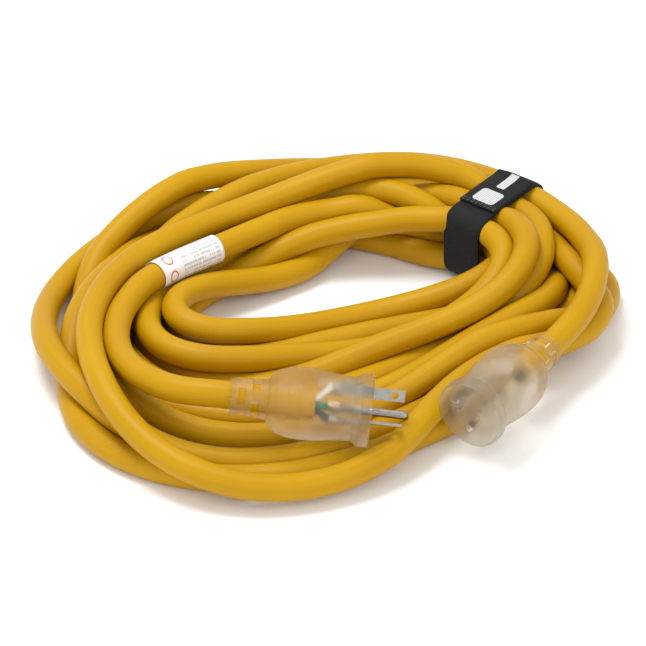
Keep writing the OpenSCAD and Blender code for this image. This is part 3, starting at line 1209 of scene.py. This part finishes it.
@dataclass(frozen=True)
class WebbingFinish:
    """Woven nylon webbing, seen thread by thread, with painted shade between the threads and one
    plain light mark.

    Args:
        colour: Colour of the raised threads.
        valley_shade: Painted shade between the threads, darker than their own colour.
        mark: Colour of the printed mark.
        marked: Whether the mark is printed on this piece.
    """

    colour: Colour = (0.011, 0.011, 0.012)
    valley_shade: Colour = (0.003, 0.003, 0.0035)
    mark: Colour = (0.72, 0.73, 0.74)
    marked: bool = False

    def build(self, name: str, space: Space = Space.UV) -> bpy.types.Material:
        """Builds the material. Places along and across the strap are in metres.

        Args:
            name: The material's name.
            space: Where the place on the surface comes from.

        Returns:
            The material.
        """
        g = Graph(name)
        place = g.place(space)
        u, v, _ = g.split(place)
        pitch = 0.0014
        column, row = v / pitch, u / (pitch * 0.8)
        shifted = row + column.floor() * 0.5
        over = (shifted * math.pi).sine()
        thread = column.fraction() - 0.5
        height = (1.0 - thread * thread * 4.0) * (over * over * 0.7 + 0.3)
        fuzz = g.noise(place, 2600.0, 3.0)
        # Painted shade: the colour darkens from the tops of the threads into the hollows between
        # them, with random fuzz on top.
        colour = g.mix((height * 0.8 + fuzz * 0.3).ramp(0.2, 0.9), self.valley_shade, self.colour)
        if self.marked:
            print_share = self._mark(u, v) * (height * 0.5 + 0.55).smaller(1.0)
            colour = g.mix(print_share, colour, self.mark)
        return g.surface(
            {
                "Base Color": colour,
                "Roughness": 0.62 + fuzz * 0.2,
                "Specular IOR Level": 0.3,
                "Normal": g.bump(height * 0.85 + fuzz * 0.15, 0.0004, 0.9),
            }
        )

    @staticmethod
    def _mark(u: Expr, v: Expr) -> Expr:
        """Draws a plain rounded block and a plain bar beside it.

        Args:
            u: Metres along the strap from the middle of its top.
            v: Metres across it.

        Returns:
            One on the mark, else zero.
        """
        block = WebbingFinish._rounded(u + 0.0085, v, (0.007, 0.0075), 0.0028)
        bar = WebbingFinish._rounded(u - 0.0125, v, (0.0095, 0.0028), 0.001)
        return block.larger(bar)

    @staticmethod
    def _rounded(u: Expr, v: Expr, half: tuple[float, float], r: float) -> Expr:
        """Draws a rectangle with round corners.

        Args:
            u: Metres along the strap from the rectangle's middle.
            v: Metres across it from the middle.
            half: Half of the rectangle's two sides, in metres.
            r: Radius of its corners, in metres.

        Returns:
            One on the rectangle, else zero.
        """
        x = (abs(u) - (half[0] - r)).larger(0.0)
        y = (abs(v) - (half[1] - r)).larger(0.0)
        return (x * x + y * y) ** 0.5 < r


@dataclass(frozen=True)
class LampFinish:
    """Small unlit lamp of warm glass.

    Args:
        glass: Colour of the glass.
        core: Colour of its brighter middle.
    """

    glass: Colour = (0.9, 0.62, 0.38)
    core: Colour = (0.95, 0.75, 0.55)

    def build(self, name: str, space: Space = Space.OBJECT) -> bpy.types.Material:
        """Builds the material.

        Args:
            name: The material's name.
            space: Where the place on the surface comes from.

        Returns:
            The material.
        """
        g = Graph(name)
        swirl = g.noise(g.place(space), 700.0, 3.0)
        return g.surface(
            {
                "Base Color": g.mix(swirl.ramp(0.35, 0.7), self.glass, self.core),
                "Roughness": 0.08 + swirl * 0.08,
                "Transmission Weight": 0.4,
                "Coat Weight": 0.5,
            }
        )


@dataclass(frozen=True)
class FloorFinish:
    """Plain pale studio floor.

    Args:
        colour: The floor's colour.
    """

    colour: Colour = (0.94, 0.94, 0.94)

    def build(self, name: str, space: Space = Space.OBJECT) -> bpy.types.Material:
        """Builds the material.

        Args:
            name: The material's name.
            space: Where the place on the surface comes from.

        Returns:
            The material.
        """
        g = Graph(name)
        soft = g.noise(g.place(space), 3.0, 2.0)
        paler = tuple(min(1.0, c * 1.01) for c in self.colour)
        return g.surface(
            {
                "Base Color": g.mix(soft, self.colour, paler),
                "Roughness": 0.9,
                "Specular IOR Level": 0.1,
            }
        )


Finish = Union[
    JacketFinish, ClearFinish, PlasticFinish, MetalFinish, PaperFinish, WebbingFinish,
    LampFinish, FloorFinish,
]


# -------------------------------------------------------------------------- mesh building


@dataclass
class Sheet:
    """A grid of points that becomes a mesh, each with its own place on the surface.

    Args:
        rows: Points as an array of shape (rows, columns, 3), in metres.
        closed: Whether the last column joins the first.
        capped: Whether the first and last rows are each closed by one face.
        uv: Texture places as an array of shape (rows, columns, 2), in any unit.
    """

    rows: np.ndarray
    closed: bool = False
    capped: bool = False
    uv: Optional[np.ndarray] = None

    def mesh(self, name: str) -> bpy.types.Object:
        """Builds the object.

        Args:
            name: The object's name.

        Returns:
            The object, linked to the scene.
        """
        count, across = self.rows.shape[:2]
        points = self.rows.reshape(-1, 3).tolist()
        span = across if self.closed else across - 1
        faces = [
            (i * across + k, i * across + (k + 1) % across,
             (i + 1) * across + (k + 1) % across, (i + 1) * across + k)
            for i in range(count - 1)
            for k in range(span)
        ]
        if self.capped:
            faces.append(tuple(reversed(range(across))))
            faces.append(tuple((count - 1) * across + k for k in range(across)))
        data = bpy.data.meshes.new(name)
        data.from_pydata(points, [], faces)
        if self.uv is not None:
            layer = data.uv_layers.new(name=UV_LAYER)
            flat = self.uv.reshape(-1, 2)
            index = np.empty(len(data.loops), np.int32)
            data.loops.foreach_get("vertex_index", index)
            layer.data.foreach_set("uv", flat[index].astype(np.float32).ravel())
        data.update()
        made = bpy.data.objects.new(name, data)
        bpy.context.scene.collection.objects.link(made)
        outward(made)
        return made


def outward(obj: bpy.types.Object) -> None:
    """Turns a mesh's faces outwards and shades it smooth.

    Args:
        obj: The mesh's object.
    """
    work = bmesh.new()
    work.from_mesh(obj.data)
    bmesh.ops.recalc_face_normals(work, faces=work.faces)
    for face in work.faces:
        face.smooth = True
    work.to_mesh(obj.data)
    work.free()


def dress(obj: bpy.types.Object, material: bpy.types.Material) -> None:
    """Gives an object its material.

    Args:
        obj: The object.
        material: The material.
    """
    if obj.data.materials:
        for k in range(len(obj.data.materials)):
            obj.data.materials[k] = material
    else:
        obj.data.materials.append(material)


@dataclass
class Tube:
    """The finished tube along a stretch of the route.

    Args:
        name: The piece's name.
        path: The stretch's points, in millimetres.
        radius: The tube's radius, in millimetres.
        sides: Number of sides.
        start: Length of cord before the stretch, in millimetres.
    """

    name: str
    path: np.ndarray
    radius: float
    sides: int
    start: float = 0.0

    def build(self) -> bpy.types.Object:
        """Builds the tube with its place along and round the cord.

        Returns:
            The tube's object.
        """
        points = self.path * MM
        n = len(points)
        heading = np.gradient(points, axis=0)
        heading /= np.linalg.norm(heading, axis=1)[:, None]
        side = np.zeros_like(points)
        side[0] = np.cross(heading[0], (0.0, 0.0, 1.0))
        side[0] /= np.linalg.norm(side[0])
        for i in range(1, n):
            s = side[i - 1] - heading[i] * (side[i - 1] @ heading[i])
            side[i] = s / np.linalg.norm(s)
        up = np.cross(side, heading)
        angle = 2 * math.pi * np.arange(self.sides) / self.sides
        r = self.radius * MM
        ring = (
            side[:, None, :] * np.cos(angle)[None, :, None]
            + up[:, None, :] * np.sin(angle)[None, :, None]
        )
        rows = points[:, None, :] + ring * r
        reach = (run_lengths(points) + self.start * MM)[:, None]
        wide = angle[None, :] * r
        uv = np.stack(np.broadcast_arrays(reach, wide), 2)
        made = Sheet(rows, closed=True, capped=True, uv=uv).mesh(self.name)
        place = np.stack(
            np.broadcast_arrays(np.cos(angle)[None, :] * r, np.sin(angle)[None, :] * r, reach), 2
        )
        layer = made.data.attributes.new(CORD_PLACE, "FLOAT_VECTOR", "POINT")
        layer.data.foreach_set("vector", place.astype(np.float32).ravel())
        return made


@dataclass
class CordAssembly:
    """The cord: the coil and its two free leads, as three tubes that meet under the
    label and under the strap.

    Args:
        cord: The cord's sizes.
        finish: The jacket's finish.
        route: The finished route, in millimetres, from the plug to the connector.
        label_at: The route's point under the middle of the label.
        strap_at: The route's point inside the strap at which the connector's lead starts.
        pieces: The tubes, in the order of the route.
    """

    cord: Cord
    finish: JacketFinish
    route: np.ndarray = field(default_factory=lambda: np.zeros((0, 3)))
    label_at: int = 0
    strap_at: int = 0
    pieces: list[bpy.types.Object] = field(default_factory=list)

    def build(self) -> None:
        solved = RouteSolver(self.cord, TURNS).solve()
        self.route = resample(solved, self.cord.ring_spacing)
        searched = 400.0
        near = int(searched / self.cord.ring_spacing)
        self.label_at = nearest(self.route[:near], np.array(LABEL_MIDDLE))
        last = len(self.route) - near
        gate = STRAP.point(LAST_SLOT[0], 0.0, LAST_SLOT[1])
        self.strap_at = last + nearest(self.route[last:], gate)
        material = self.finish.build("jacket", Space.CORD)
        reach = run_lengths(self.route)
        spans = {
            "cord_plug_lead": (0, self.label_at),
            "cord_coil_turns": (self.label_at, self.strap_at),
            "cord_connector_lead": (self.strap_at, len(self.route) - 1),
        }
        for name, (a, b) in spans.items():
            path = self.route[a : b + 1]
            radius = self.cord.radius + self.cord.swell
            tube = Tube(name, path, radius, self.cord.sides, reach[a]).build()
            dress(tube, material)
            self.pieces.append(tube)
            LOG.info("%s: %.2f m", name, (reach[b] - reach[a]) * MM)
        self._attach()

    def _attach(self) -> None:
        plug, coil, connector = self.pieces
        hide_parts("plug_lead")
        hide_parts("cord_coil")
        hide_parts("connector_lead")
        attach(coil, "coil")
        half_flex = 7.0
        for tube, body, place in ((plug, "plug", PLUG), (connector, "connector", CONNECTOR)):
            start, end = place.along(-half_flex) * MM, place.along(half_flex) * MM
            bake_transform(tube)


@dataclass
class LabelAssembly:
    """The printed label wrapped round the plug's lead, its free edge lifted a little.

    Args:
        finish: The label's finish.
        length: Length along the cord, in millimetres.
        thickness: Thickness of the paper, in millimetres.
        gap: Gap between the jacket and the paper, in millimetres.
        begin: Angle round the cord at which the paper begins, in degrees.
        sweep: How far it goes round, in degrees. Past a full turn it overlaps itself.
        overlap_lift: How much further out the far edge lies, in millimetres.
        curl: How far the far edge curls up at the two ends, in millimetres.
    """

    finish: PaperFinish
    length: float = 46.0
    thickness: float = 0.25
    gap: float = 0.45
    begin: float = 200.0
    sweep: float = 382.0
    overlap_lift: float = 0.35
    curl: tuple[float, float] = (1.1, 2.6)

    def build(self, cord: CordAssembly) -> None:
        """Wraps the label round the cord.

        Args:
            cord: The finished cord.
        """
        reach = run_lengths(cord.route)
        middle = reach[cord.label_at]
        stations = np.linspace(middle - self.length / 2, middle + self.length / 2, 25)
        points = np.stack([np.interp(stations, reach, cord.route[:, k]) for k in range(3)], 1)
        heading = np.gradient(points, axis=0)
        heading /= np.linalg.norm(heading, axis=1)[:, None]
        side = np.cross(heading, (0.0, 0.0, 1.0))
        side /= np.linalg.norm(side, axis=1)[:, None]
        up = np.cross(side, heading)
        wrap = np.linspace(0.0, 1.0, 49)
        angle = math.radians(self.begin) + math.radians(self.sweep) * wrap
        radius = cord.cord.radius + self.gap
        outer, inner = [], []
        for k in range(len(points)):
            along = k / (len(points) - 1)
            curl = self.curl[0] + (self.curl[1] - self.curl[0]) * along
            lift = curl * np.clip((wrap - 0.9) / 0.1, 0, 1) ** 2 + self.overlap_lift * wrap
            ray = side[k] * np.cos(angle)[:, None] + up[k] * np.sin(angle)[:, None]
            outer.append(points[k] + ray * (radius + lift + self.thickness)[:, None])
            inner.append(points[k] + ray * (radius + lift)[:, None])
        outer, inner = np.array(outer) * MM, np.array(inner) * MM
        rows = np.concatenate([outer, inner[:, ::-1]], 1)
        u = np.linspace(0, 1, len(points))[:, None]
        v = np.concatenate([wrap, wrap[::-1]])[None, :]
        uv = np.stack(np.broadcast_arrays(u, v), 2)
        made = Sheet(rows, closed=True, capped=True, uv=uv).mesh("label_wrap")
        dress(made, self.finish.build("label", Space.UV))
        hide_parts("paper_tag")
        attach(made, "coil")
        LOG.info("label_wrap: %.0f mm long", self.length)


@dataclass
class StitchPattern:
    """Geometry Nodes that place stitches evenly along a line.

    Args:
        pitch: Distance between stitches, in metres.
        length: Length of one stitch, in metres.
        radius: Radius of the thread, in metres.
        seed: Seed of the small turn that each stitch has.
    """

    pitch: float
    length: float
    radius: float
    seed: int = 7

    def _group(self) -> bpy.types.NodeTree:
        """Builds the node group.

        Returns:
            The group.
        """
        group = bpy.data.node_groups.new("stitches", "GeometryNodeTree")
        face = group.interface
        face.new_socket("Geometry", in_out="INPUT", socket_type="NodeSocketGeometry")
        for label in ("Pitch", "Length", "Thread radius"):
            face.new_socket(label, in_out="INPUT", socket_type="NodeSocketFloat")
        face.new_socket("Seed", in_out="INPUT", socket_type="NodeSocketInt")
        face.new_socket("Material", in_out="INPUT", socket_type="NodeSocketMaterial")
        face.new_socket("Geometry", in_out="OUTPUT", socket_type="NodeSocketGeometry")
        add, link = group.nodes.new, group.links.new
        source, sink = add("NodeGroupInput"), add("NodeGroupOutput")
        curve = add("GeometryNodeMeshToCurve")
        points = add("GeometryNodeCurveToPoints")
        points.mode = "LENGTH"
        stitch = add("GeometryNodeMeshUVSphere")
        stitch.inputs["Segments"].default_value = 10
        stitch.inputs["Rings"].default_value = 8
        stitch.inputs["Radius"].default_value = 0.5
        shape = add("ShaderNodeCombineXYZ")
        double = add("ShaderNodeMath")
        double.operation = "MULTIPLY"
        double.inputs[1].default_value = 2.0
        place = add("GeometryNodeInstanceOnPoints")
        turn = add("FunctionNodeRandomValue")
        turn.data_type = "FLOAT_VECTOR"
        turn.inputs["Min"].default_value = (-0.04, -0.04, -0.12)
        turn.inputs["Max"].default_value = (0.04, 0.04, 0.12)
        rotate = add("GeometryNodeRotateInstances")
        realise, paint = add("GeometryNodeRealizeInstances"), add("GeometryNodeSetMaterial")
        link(source.outputs["Geometry"], curve.inputs["Mesh"])
        link(curve.outputs["Curve"], points.inputs["Curve"])
        link(source.outputs["Pitch"], points.inputs["Length"])
        link(source.outputs["Thread radius"], double.inputs[0])
        link(double.outputs[0], shape.inputs[0])
        link(double.outputs[0], shape.inputs[1])
        link(source.outputs["Length"], shape.inputs[2])
        link(points.outputs["Points"], place.inputs["Points"])
        link(points.outputs["Rotation"], place.inputs["Rotation"])
        link(stitch.outputs["Mesh"], place.inputs["Instance"])
        link(shape.outputs[0], place.inputs["Scale"])
        link(source.outputs["Seed"], turn.inputs["Seed"])
        link(place.outputs["Instances"], rotate.inputs["Instances"])
        link(turn.outputs[0], rotate.inputs["Rotation"])
        link(rotate.outputs["Instances"], realise.inputs["Geometry"])
        link(realise.outputs["Geometry"], paint.inputs["Geometry"])
        link(source.outputs["Material"], paint.inputs["Material"])
        link(paint.outputs["Geometry"], sink.inputs["Geometry"])
        return group

    def build(
        self, name: str, lines: Sequence[np.ndarray], material: bpy.types.Material
    ) -> bpy.types.Object:
        """Sews stitches along lines.

        Args:
            name: The piece's name.
            lines: Each line's points, in metres.
            material: The thread's material.

        Returns:
            The finished stitches as one mesh.
        """
        points, edges = [], []
        for line in lines:
            base = len(points)
            points += [tuple(p) for p in line]
            edges += [(base + k, base + k + 1) for k in range(len(line) - 1)]
        data = bpy.data.meshes.new(name + "_line")
        data.from_pydata(points, edges, [])
        source = bpy.data.objects.new(name + "_line", data)
        bpy.context.scene.collection.objects.link(source)
        modifier = source.modifiers.new("stitches", "NODES")
        modifier.node_group = self._group()
        values = {
            "Pitch": self.pitch, "Length": self.length, "Thread radius": self.radius,
            "Seed": self.seed, "Material": material,
        }
        for item in modifier.node_group.interface.items_tree:
            if item.in_out == "INPUT" and item.name in values:
                modifier[item.identifier] = values[item.name]
        bpy.context.view_layer.update()
        depth = bpy.context.evaluated_depsgraph_get()
        finished = bpy.data.meshes.new_from_object(source.evaluated_get(depth), depsgraph=depth)
        bpy.data.objects.remove(source)
        made = bpy.data.objects.new(name, finished)
        bpy.context.scene.collection.objects.link(made)
        outward(made)
        return made


@dataclass
class StrapAssembly:
    """The webbing strap: a band drawn tight round the strands, its loose end laid over
    the top, and the rows of stitches that close it.

    Args:
        place: Where the strap is.
        plain: Finish of the webbing.
        printed: Finish of the webbing that carries the mark.
        thread: Finish of the thread.
        columns: Number of points across the webbing.
        tail: Where the loose end starts and stops, in millimetres across the strands.
    """

    place: StrapPlace
    plain: WebbingFinish
    printed: WebbingFinish
    thread: PlasticFinish
    columns: int = 13
    tail: tuple[float, float] = (-19.5, 22.0)

    def _hull(self, cord: CordAssembly) -> np.ndarray:
        """Finds the tight outline of the strands under the strap.

        Args:
            cord: The finished cord.

        Returns:
            The outline as (across, height) in millimetres, counter-clockwise.
        """
        offset = cord.route - np.array([self.place.at[0], self.place.at[1], 0.0])
        along, across = offset @ self.place.along, offset @ self.place.across
        near = (abs(along) < self.place.width / 2) & (abs(across) < 40)
        ring = 2 * math.pi * np.arange(24) / 24
        r = cord.cord.radius + 0.25
        centres = np.stack([across[near], cord.route[near, 2]], 1)
        circle = np.stack([np.cos(ring), np.sin(ring)], 1) * r
        cloud = (centres[:, None, :] + circle[None, :, :]).reshape(-1, 2)
        floor_gap = self.place.thickness + 0.1
        low = np.array([[-14.0, floor_gap], [14.0, floor_gap]])
        cloud = np.concatenate([cloud, low])
        cloud[:, 1] = np.maximum(cloud[:, 1], floor_gap)
        cloud = cloud[np.lexsort((cloud[:, 1], cloud[:, 0]))]
        lower, upper = self._half_hull(cloud), self._half_hull(cloud[::-1])
        return np.array(lower[:-1] + upper[:-1])

    @staticmethod
    def _half_hull(points: np.ndarray) -> list[np.ndarray]:
        """Finds one side of the smallest convex outline round sorted points.

        Args:
            points: The points as (across, height), sorted across.

        Returns:
            The outline's corners on that side.
        """
        chain: list[np.ndarray] = []
        for p in points:
            while len(chain) > 1:
                a, b = chain[-1] - chain[-2], p - chain[-2]
                if a[0] * b[1] - a[1] * b[0] > 1e-9:
                    break
                chain.pop()
            chain.append(p)
        return chain

    @staticmethod
    def _even(outline: np.ndarray, count: int) -> np.ndarray:
        """Places points evenly round a closed outline, smoothed a little.

        Args:
            outline: The outline's corners.
            count: Number of points.

        Returns:
            The new points.
        """
        closed = np.concatenate([outline, outline[:1]])
        reach = run_lengths(closed)
        even = np.linspace(0, reach[-1], count, endpoint=False)
        p = np.stack([np.interp(even, reach, closed[:, k]) for k in range(2)], 1)
        for _ in range(3):
            p = (np.roll(p, 1, 0) + 2 * p + np.roll(p, -1, 0)) / 4
        return p

    def _band_rows(self, path: np.ndarray, normal: np.ndarray) -> np.ndarray:
        """Sweeps the webbing's section along a path in the strap's own plane.

        Args:
            path: The path of the inner face as (across, height), in millimetres.
            normal: The outward direction at each point.

        Returns:
            Rows of points in metres, one row for each point of the path.
        """
        t, w = self.place.thickness, self.place.width
        v = np.linspace(-w / 2, w / 2, self.columns)
        edge = 0.45 * (np.abs(v) / (w / 2)) ** 6
        rows = []
        for p, n in zip(path, normal):
            top = [(p + n * (t - e), a) for a, e in zip(v, edge)]
            low = [(p + n * (e * 0.6), a) for a, e in zip(v[::-1], edge[::-1])]
            rows.append([self.place.point(q[0], a, q[1]) for q, a in top + low])
        return np.array(rows) * MM

    def _uv(self, reach: np.ndarray, middle: float) -> np.ndarray:
        """Gives the webbing's own places, in metres.

        Args:
            reach: Length along the path at each row, in millimetres.
            middle: The length that counts as zero.

        Returns:
            The places.
        """
        v = np.linspace(-self.place.width / 2, self.place.width / 2, self.columns)
        across = np.concatenate([v, v[::-1]])[None, :] * MM
        return np.stack(np.broadcast_arrays((reach[:, None] - middle) * MM, across), 2)

    def build(self, cord: CordAssembly) -> None:
        """Builds the strap round the finished cord.

        Args:
            cord: The finished cord.
        """
        outline = self._even(self._hull(cord), 96)
        tangent = np.roll(outline, -1, 0) - np.roll(outline, 1, 0)
        tangent /= np.linalg.norm(tangent, axis=1)[:, None]
        normal = np.stack([tangent[:, 1], -tangent[:, 0]], 1)
        rows = self._band_rows(outline, normal)
        rows = np.concatenate([rows, rows[:1]])
        reach = run_lengths(np.concatenate([outline, outline[:1]]))
        made = Sheet(rows, closed=True, uv=self._uv(reach, 0.0)).mesh("strap_loop")
        self._weld(made)
        dress(made, self.plain.build("webbing", Space.UV))
        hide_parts("strap_band")
        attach(made, "coil")
        LOG.info("strap_loop: %.0f mm round the strands", reach[-1])
        self._tail(outline, normal)

    @staticmethod
    def _weld(obj: bpy.types.Object) -> None:
        """Joins the doubled points where a band closes on itself.

        Args:
            obj: The band's object.
        """
        work = bmesh.new()
        work.from_mesh(obj.data)
        bmesh.ops.remove_doubles(work, verts=work.verts, dist=1e-6)
        bmesh.ops.recalc_face_normals(work, faces=work.faces)
        work.to_mesh(obj.data)
        work.free()

    def _tail(self, outline: np.ndarray, normal: np.ndarray) -> None:
        """Builds the loose end over the top, and then the stitches at its root.

        Args:
            outline: The band's inner outline.
            normal: The outline's outward directions.
        """
        top = outline[:, 1] > outline[:, 1].max() - 14.0
        order = np.argsort(outline[top][:, 0])
        path, out = outline[top][order], normal[top][order]
        keep = (path[:, 0] > self.tail[0]) & (path[:, 0] < self.tail[1])
        path, out = path[keep], out[keep]
        fine = np.linspace(0, len(path) - 1, 40)
        index = np.arange(len(path))
        path = np.stack([np.interp(fine, index, path[:, k]) for k in range(2)], 1)
        out = np.stack([np.interp(fine, index, out[:, k]) for k in range(2)], 1)
        t = self.place.thickness
        reach = run_lengths(path)
        share = reach / reach[-1]
        lift = t + 0.15 + 0.9 * np.clip((share - 0.82) / 0.18, 0, 1) ** 2
        lifted = path + out * lift[:, None]
        rows = self._band_rows(lifted, out)
        made = Sheet(rows, closed=True, capped=True, uv=self._uv(reach, reach[-1] / 2)).mesh(
            "strap_tail_webbing"
        )
        dress(made, self.printed.build("webbing_printed", Space.UV))
        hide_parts("strap_tail")
        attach(made, "strap_flap")
        LOG.info("strap_tail_webbing: %.0f mm long", reach[-1])
        sunk, margin = 0.15, 2.0
        first_row, second_row = 1, 3
        seam = [lifted[k] + out[k] * (t - sunk) for k in (first_row, second_row)]
        half = self.place.width / 2 - margin
        self._stitches(seam, np.linspace(-half, half, 9))

    def _stitches(self, seam: Sequence[np.ndarray], along: np.ndarray) -> None:
        """Sews rows of stitches across the webbing.

        Args:
            seam: Each row's place as (across, height), in millimetres.
            along: Places of a row's points across the webbing, in millimetres.
        """
        lines = [
            np.array([self.place.point(q[0], a, q[1]) for a in along]) * MM for q in seam
        ]
        stitches = StitchPattern(0.0029, 0.0021, 0.00038).build(
            "strap_seam_stitches", lines, self.thread.build("strap_thread")
        )
        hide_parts("strap_stitches")
        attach(stitches, "strap_flap")
        LOG.info("strap_seam_stitches: %d rows", len(lines))


@dataclass
class EndAssembly:
    """One moulded end, whose CAD pieces keep their shapes and get their finishes.

    Args:
        prefix: What its nodes' names start with.
        finishes: For each piece, its node's name after the prefix, the material's name,
            the finish and the record's slot.
    """

    prefix: str
    finishes: Sequence[tuple[str, str, Finish, str]]

    def build(self, library: dict[str, bpy.types.Material]) -> None:
        """Dresses the end's pieces.

        Args:
            library: Materials already built, by name.
        """
        for piece, name, finish, slot in self.finishes:
            if name not in library:
                library[name] = finish.build(name, Space.OBJECT)
            dress(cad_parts[f"{self.prefix}_{piece}"], library[name])
            LOG.info("%s_%s: %s", self.prefix, piece, name)


@dataclass(frozen=True)
class Studio:
    """Camera, lights and floor.

    Args:
        target: What the camera looks at, in metres.
        distance: The camera's distance, in metres.
        elevation: The camera's height angle, in degrees.
        lens: Focal length, in millimetres.
        sensor: Width of the sensor, in millimetres.
        surroundings: Strength of the even white light from all sides.
        half_floor: Half of the floor's width, in metres.
    """

    target: Point = (0.0, -0.005, 0.015)
    distance: float = 2.0
    elevation: float = 35.0
    lens: float = 195.0
    sensor: float = 36.0
    surroundings: float = 0.78
    half_floor: float = 6.0

    def camera(self) -> None:
        """Places the camera."""
        data = bpy.data.cameras.new("camera")
        data.lens, data.sensor_width = self.lens, self.sensor
        data.clip_end = 20.0
        made = bpy.data.objects.new("camera", data)
        a = math.radians(self.elevation)
        away = Vector((0, -math.cos(a), math.sin(a)))
        made.location = Vector(self.target) + self.distance * away
        made.rotation_euler = (math.radians(90.0) - a, 0.0, 0.0)
        bpy.context.scene.collection.objects.link(made)
        bpy.context.scene.camera = made

    def light(self, name: str, at: Point, size: float, power: float) -> None:
        """Adds one soft light that faces the object.

        Args:
            name: The light's name.
            at: Its place, in metres.
            size: Its width, in metres.
            power: Its power, in watts.
        """
        data = bpy.data.lights.new(name, "AREA")
        data.shape, data.size, data.energy = "DISK", size, power
        made = bpy.data.objects.new(name, data)
        made.location = at
        aim = Vector(self.target) - Vector(at)
        made.rotation_euler = aim.to_track_quat("-Z", "Y").to_euler()
        bpy.context.scene.collection.objects.link(made)

    def build(self) -> None:
        """Builds the lights, the surroundings and the floor."""
        self.light("key", (-0.35, 0.2, 1.4), 0.7, 15.0)
        self.light("fill", (0.9, -1.1, 1.1), 1.2, 6.0)
        self.light("front", (-0.7, -1.3, 0.7), 1.0, 3.0)
        world = bpy.data.worlds.new("studio")
        world.use_nodes = True
        background = world.node_tree.nodes["Background"]
        background.inputs["Color"].default_value = (1.0, 1.0, 1.0, 1.0)
        background.inputs["Strength"].default_value = self.surroundings
        bpy.context.scene.world = world
        bpy.context.scene.view_settings.view_transform = "Standard"
        grid = np.linspace(-self.half_floor, self.half_floor, 5)
        rows = np.array([[(x, y, 0.0) for x in grid] for y in grid])
        floor = Sheet(rows).mesh("floor")
        dress(floor, FloorFinish().build("floor"))
        LOG.info("floor: %.0f m wide", 2 * self.half_floor)


NICKEL = MetalFinish((0.44, 0.42, 0.385), (0.3, 0.285, 0.26), 0.2)
BRASS = MetalFinish((0.75, 0.58, 0.3), (0.5, 0.37, 0.18), 0.32)
BLACK_WIRE = PlasticFinish((0.012, 0.012, 0.013), (0.03, 0.03, 0.03), 0.35)
WHITE_WIRE = PlasticFinish((0.8, 0.8, 0.77), (0.7, 0.69, 0.65), 0.35)
GREEN_WIRE = PlasticFinish((0.0, 0.24, 0.13), (0.01, 0.33, 0.2), 0.35)
BLOCK = ClearFinish((0.85, 0.83, 0.77), 0.5, 0.3)
RESISTOR = PlasticFinish((0.62, 0.46, 0.26), (0.5, 0.36, 0.2), 0.4)
# Each row is a piece of a moulded end, its material's name, its finish and its slot.
INSIDE: tuple[tuple[str, str, Finish, str], ...] = (
    ("body", "clear_moulding", ClearFinish(), "clear_moulding"),
    ("jacket_end", "jacket_end", JacketFinish(), "cord_jacket"),
    ("line_wire", "black_insulation", BLACK_WIRE, "black_insulation"),
    ("neutral_wire", "white_insulation", WHITE_WIRE, "white_insulation"),
    ("ground_wire", "green_insulation", GREEN_WIRE, "green_insulation"),
    ("lamp", "lamp_glass", LampFinish(), "lamp_glass"),
    ("resistor", "resistor_body", RESISTOR, "resistor_body"),
)
PLUG_FINISHES = INSIDE + (
    ("blade_carrier", "insulating_block", BLOCK, "insulating_block"),
    ("line_blade", "blade_metal", NICKEL, "blade_metal"),
    ("neutral_blade", "blade_metal", NICKEL, "blade_metal"),
    ("ground_pin", "blade_metal", NICKEL, "blade_metal"),
)
CONNECTOR_FINISHES = INSIDE + (
    ("contact_carrier", "insulating_block", BLOCK, "insulating_block"),
    ("line_contact", "contact_brass", BRASS, "contact_brass"),
    ("neutral_contact", "contact_brass", BRASS, "contact_brass"),
    ("ground_contact", "contact_brass", BRASS, "contact_brass"),
)


def main() -> None:
    """Builds every piece in order."""
    logging.basicConfig(level=logging.INFO, format="%(name)s: %(message)s")
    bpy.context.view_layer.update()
    studio = Studio()
    studio.camera()
    cord = CordAssembly(CORD, JacketFinish())
    cord.build()
    LabelAssembly(PaperFinish()).build(cord)
    StrapAssembly(
        STRAP,
        WebbingFinish(),
        WebbingFinish(marked=True),
        PlasticFinish((0.05, 0.05, 0.055), (0.1, 0.1, 0.1), 0.6, 3000.0),
    ).build(cord)
    library: dict[str, bpy.types.Material] = {}
    EndAssembly("plug", PLUG_FINISHES).build(library)
    EndAssembly("connector", CONNECTOR_FINISHES).build(library)
    studio.build()


if __name__ == "__main__":
    main()
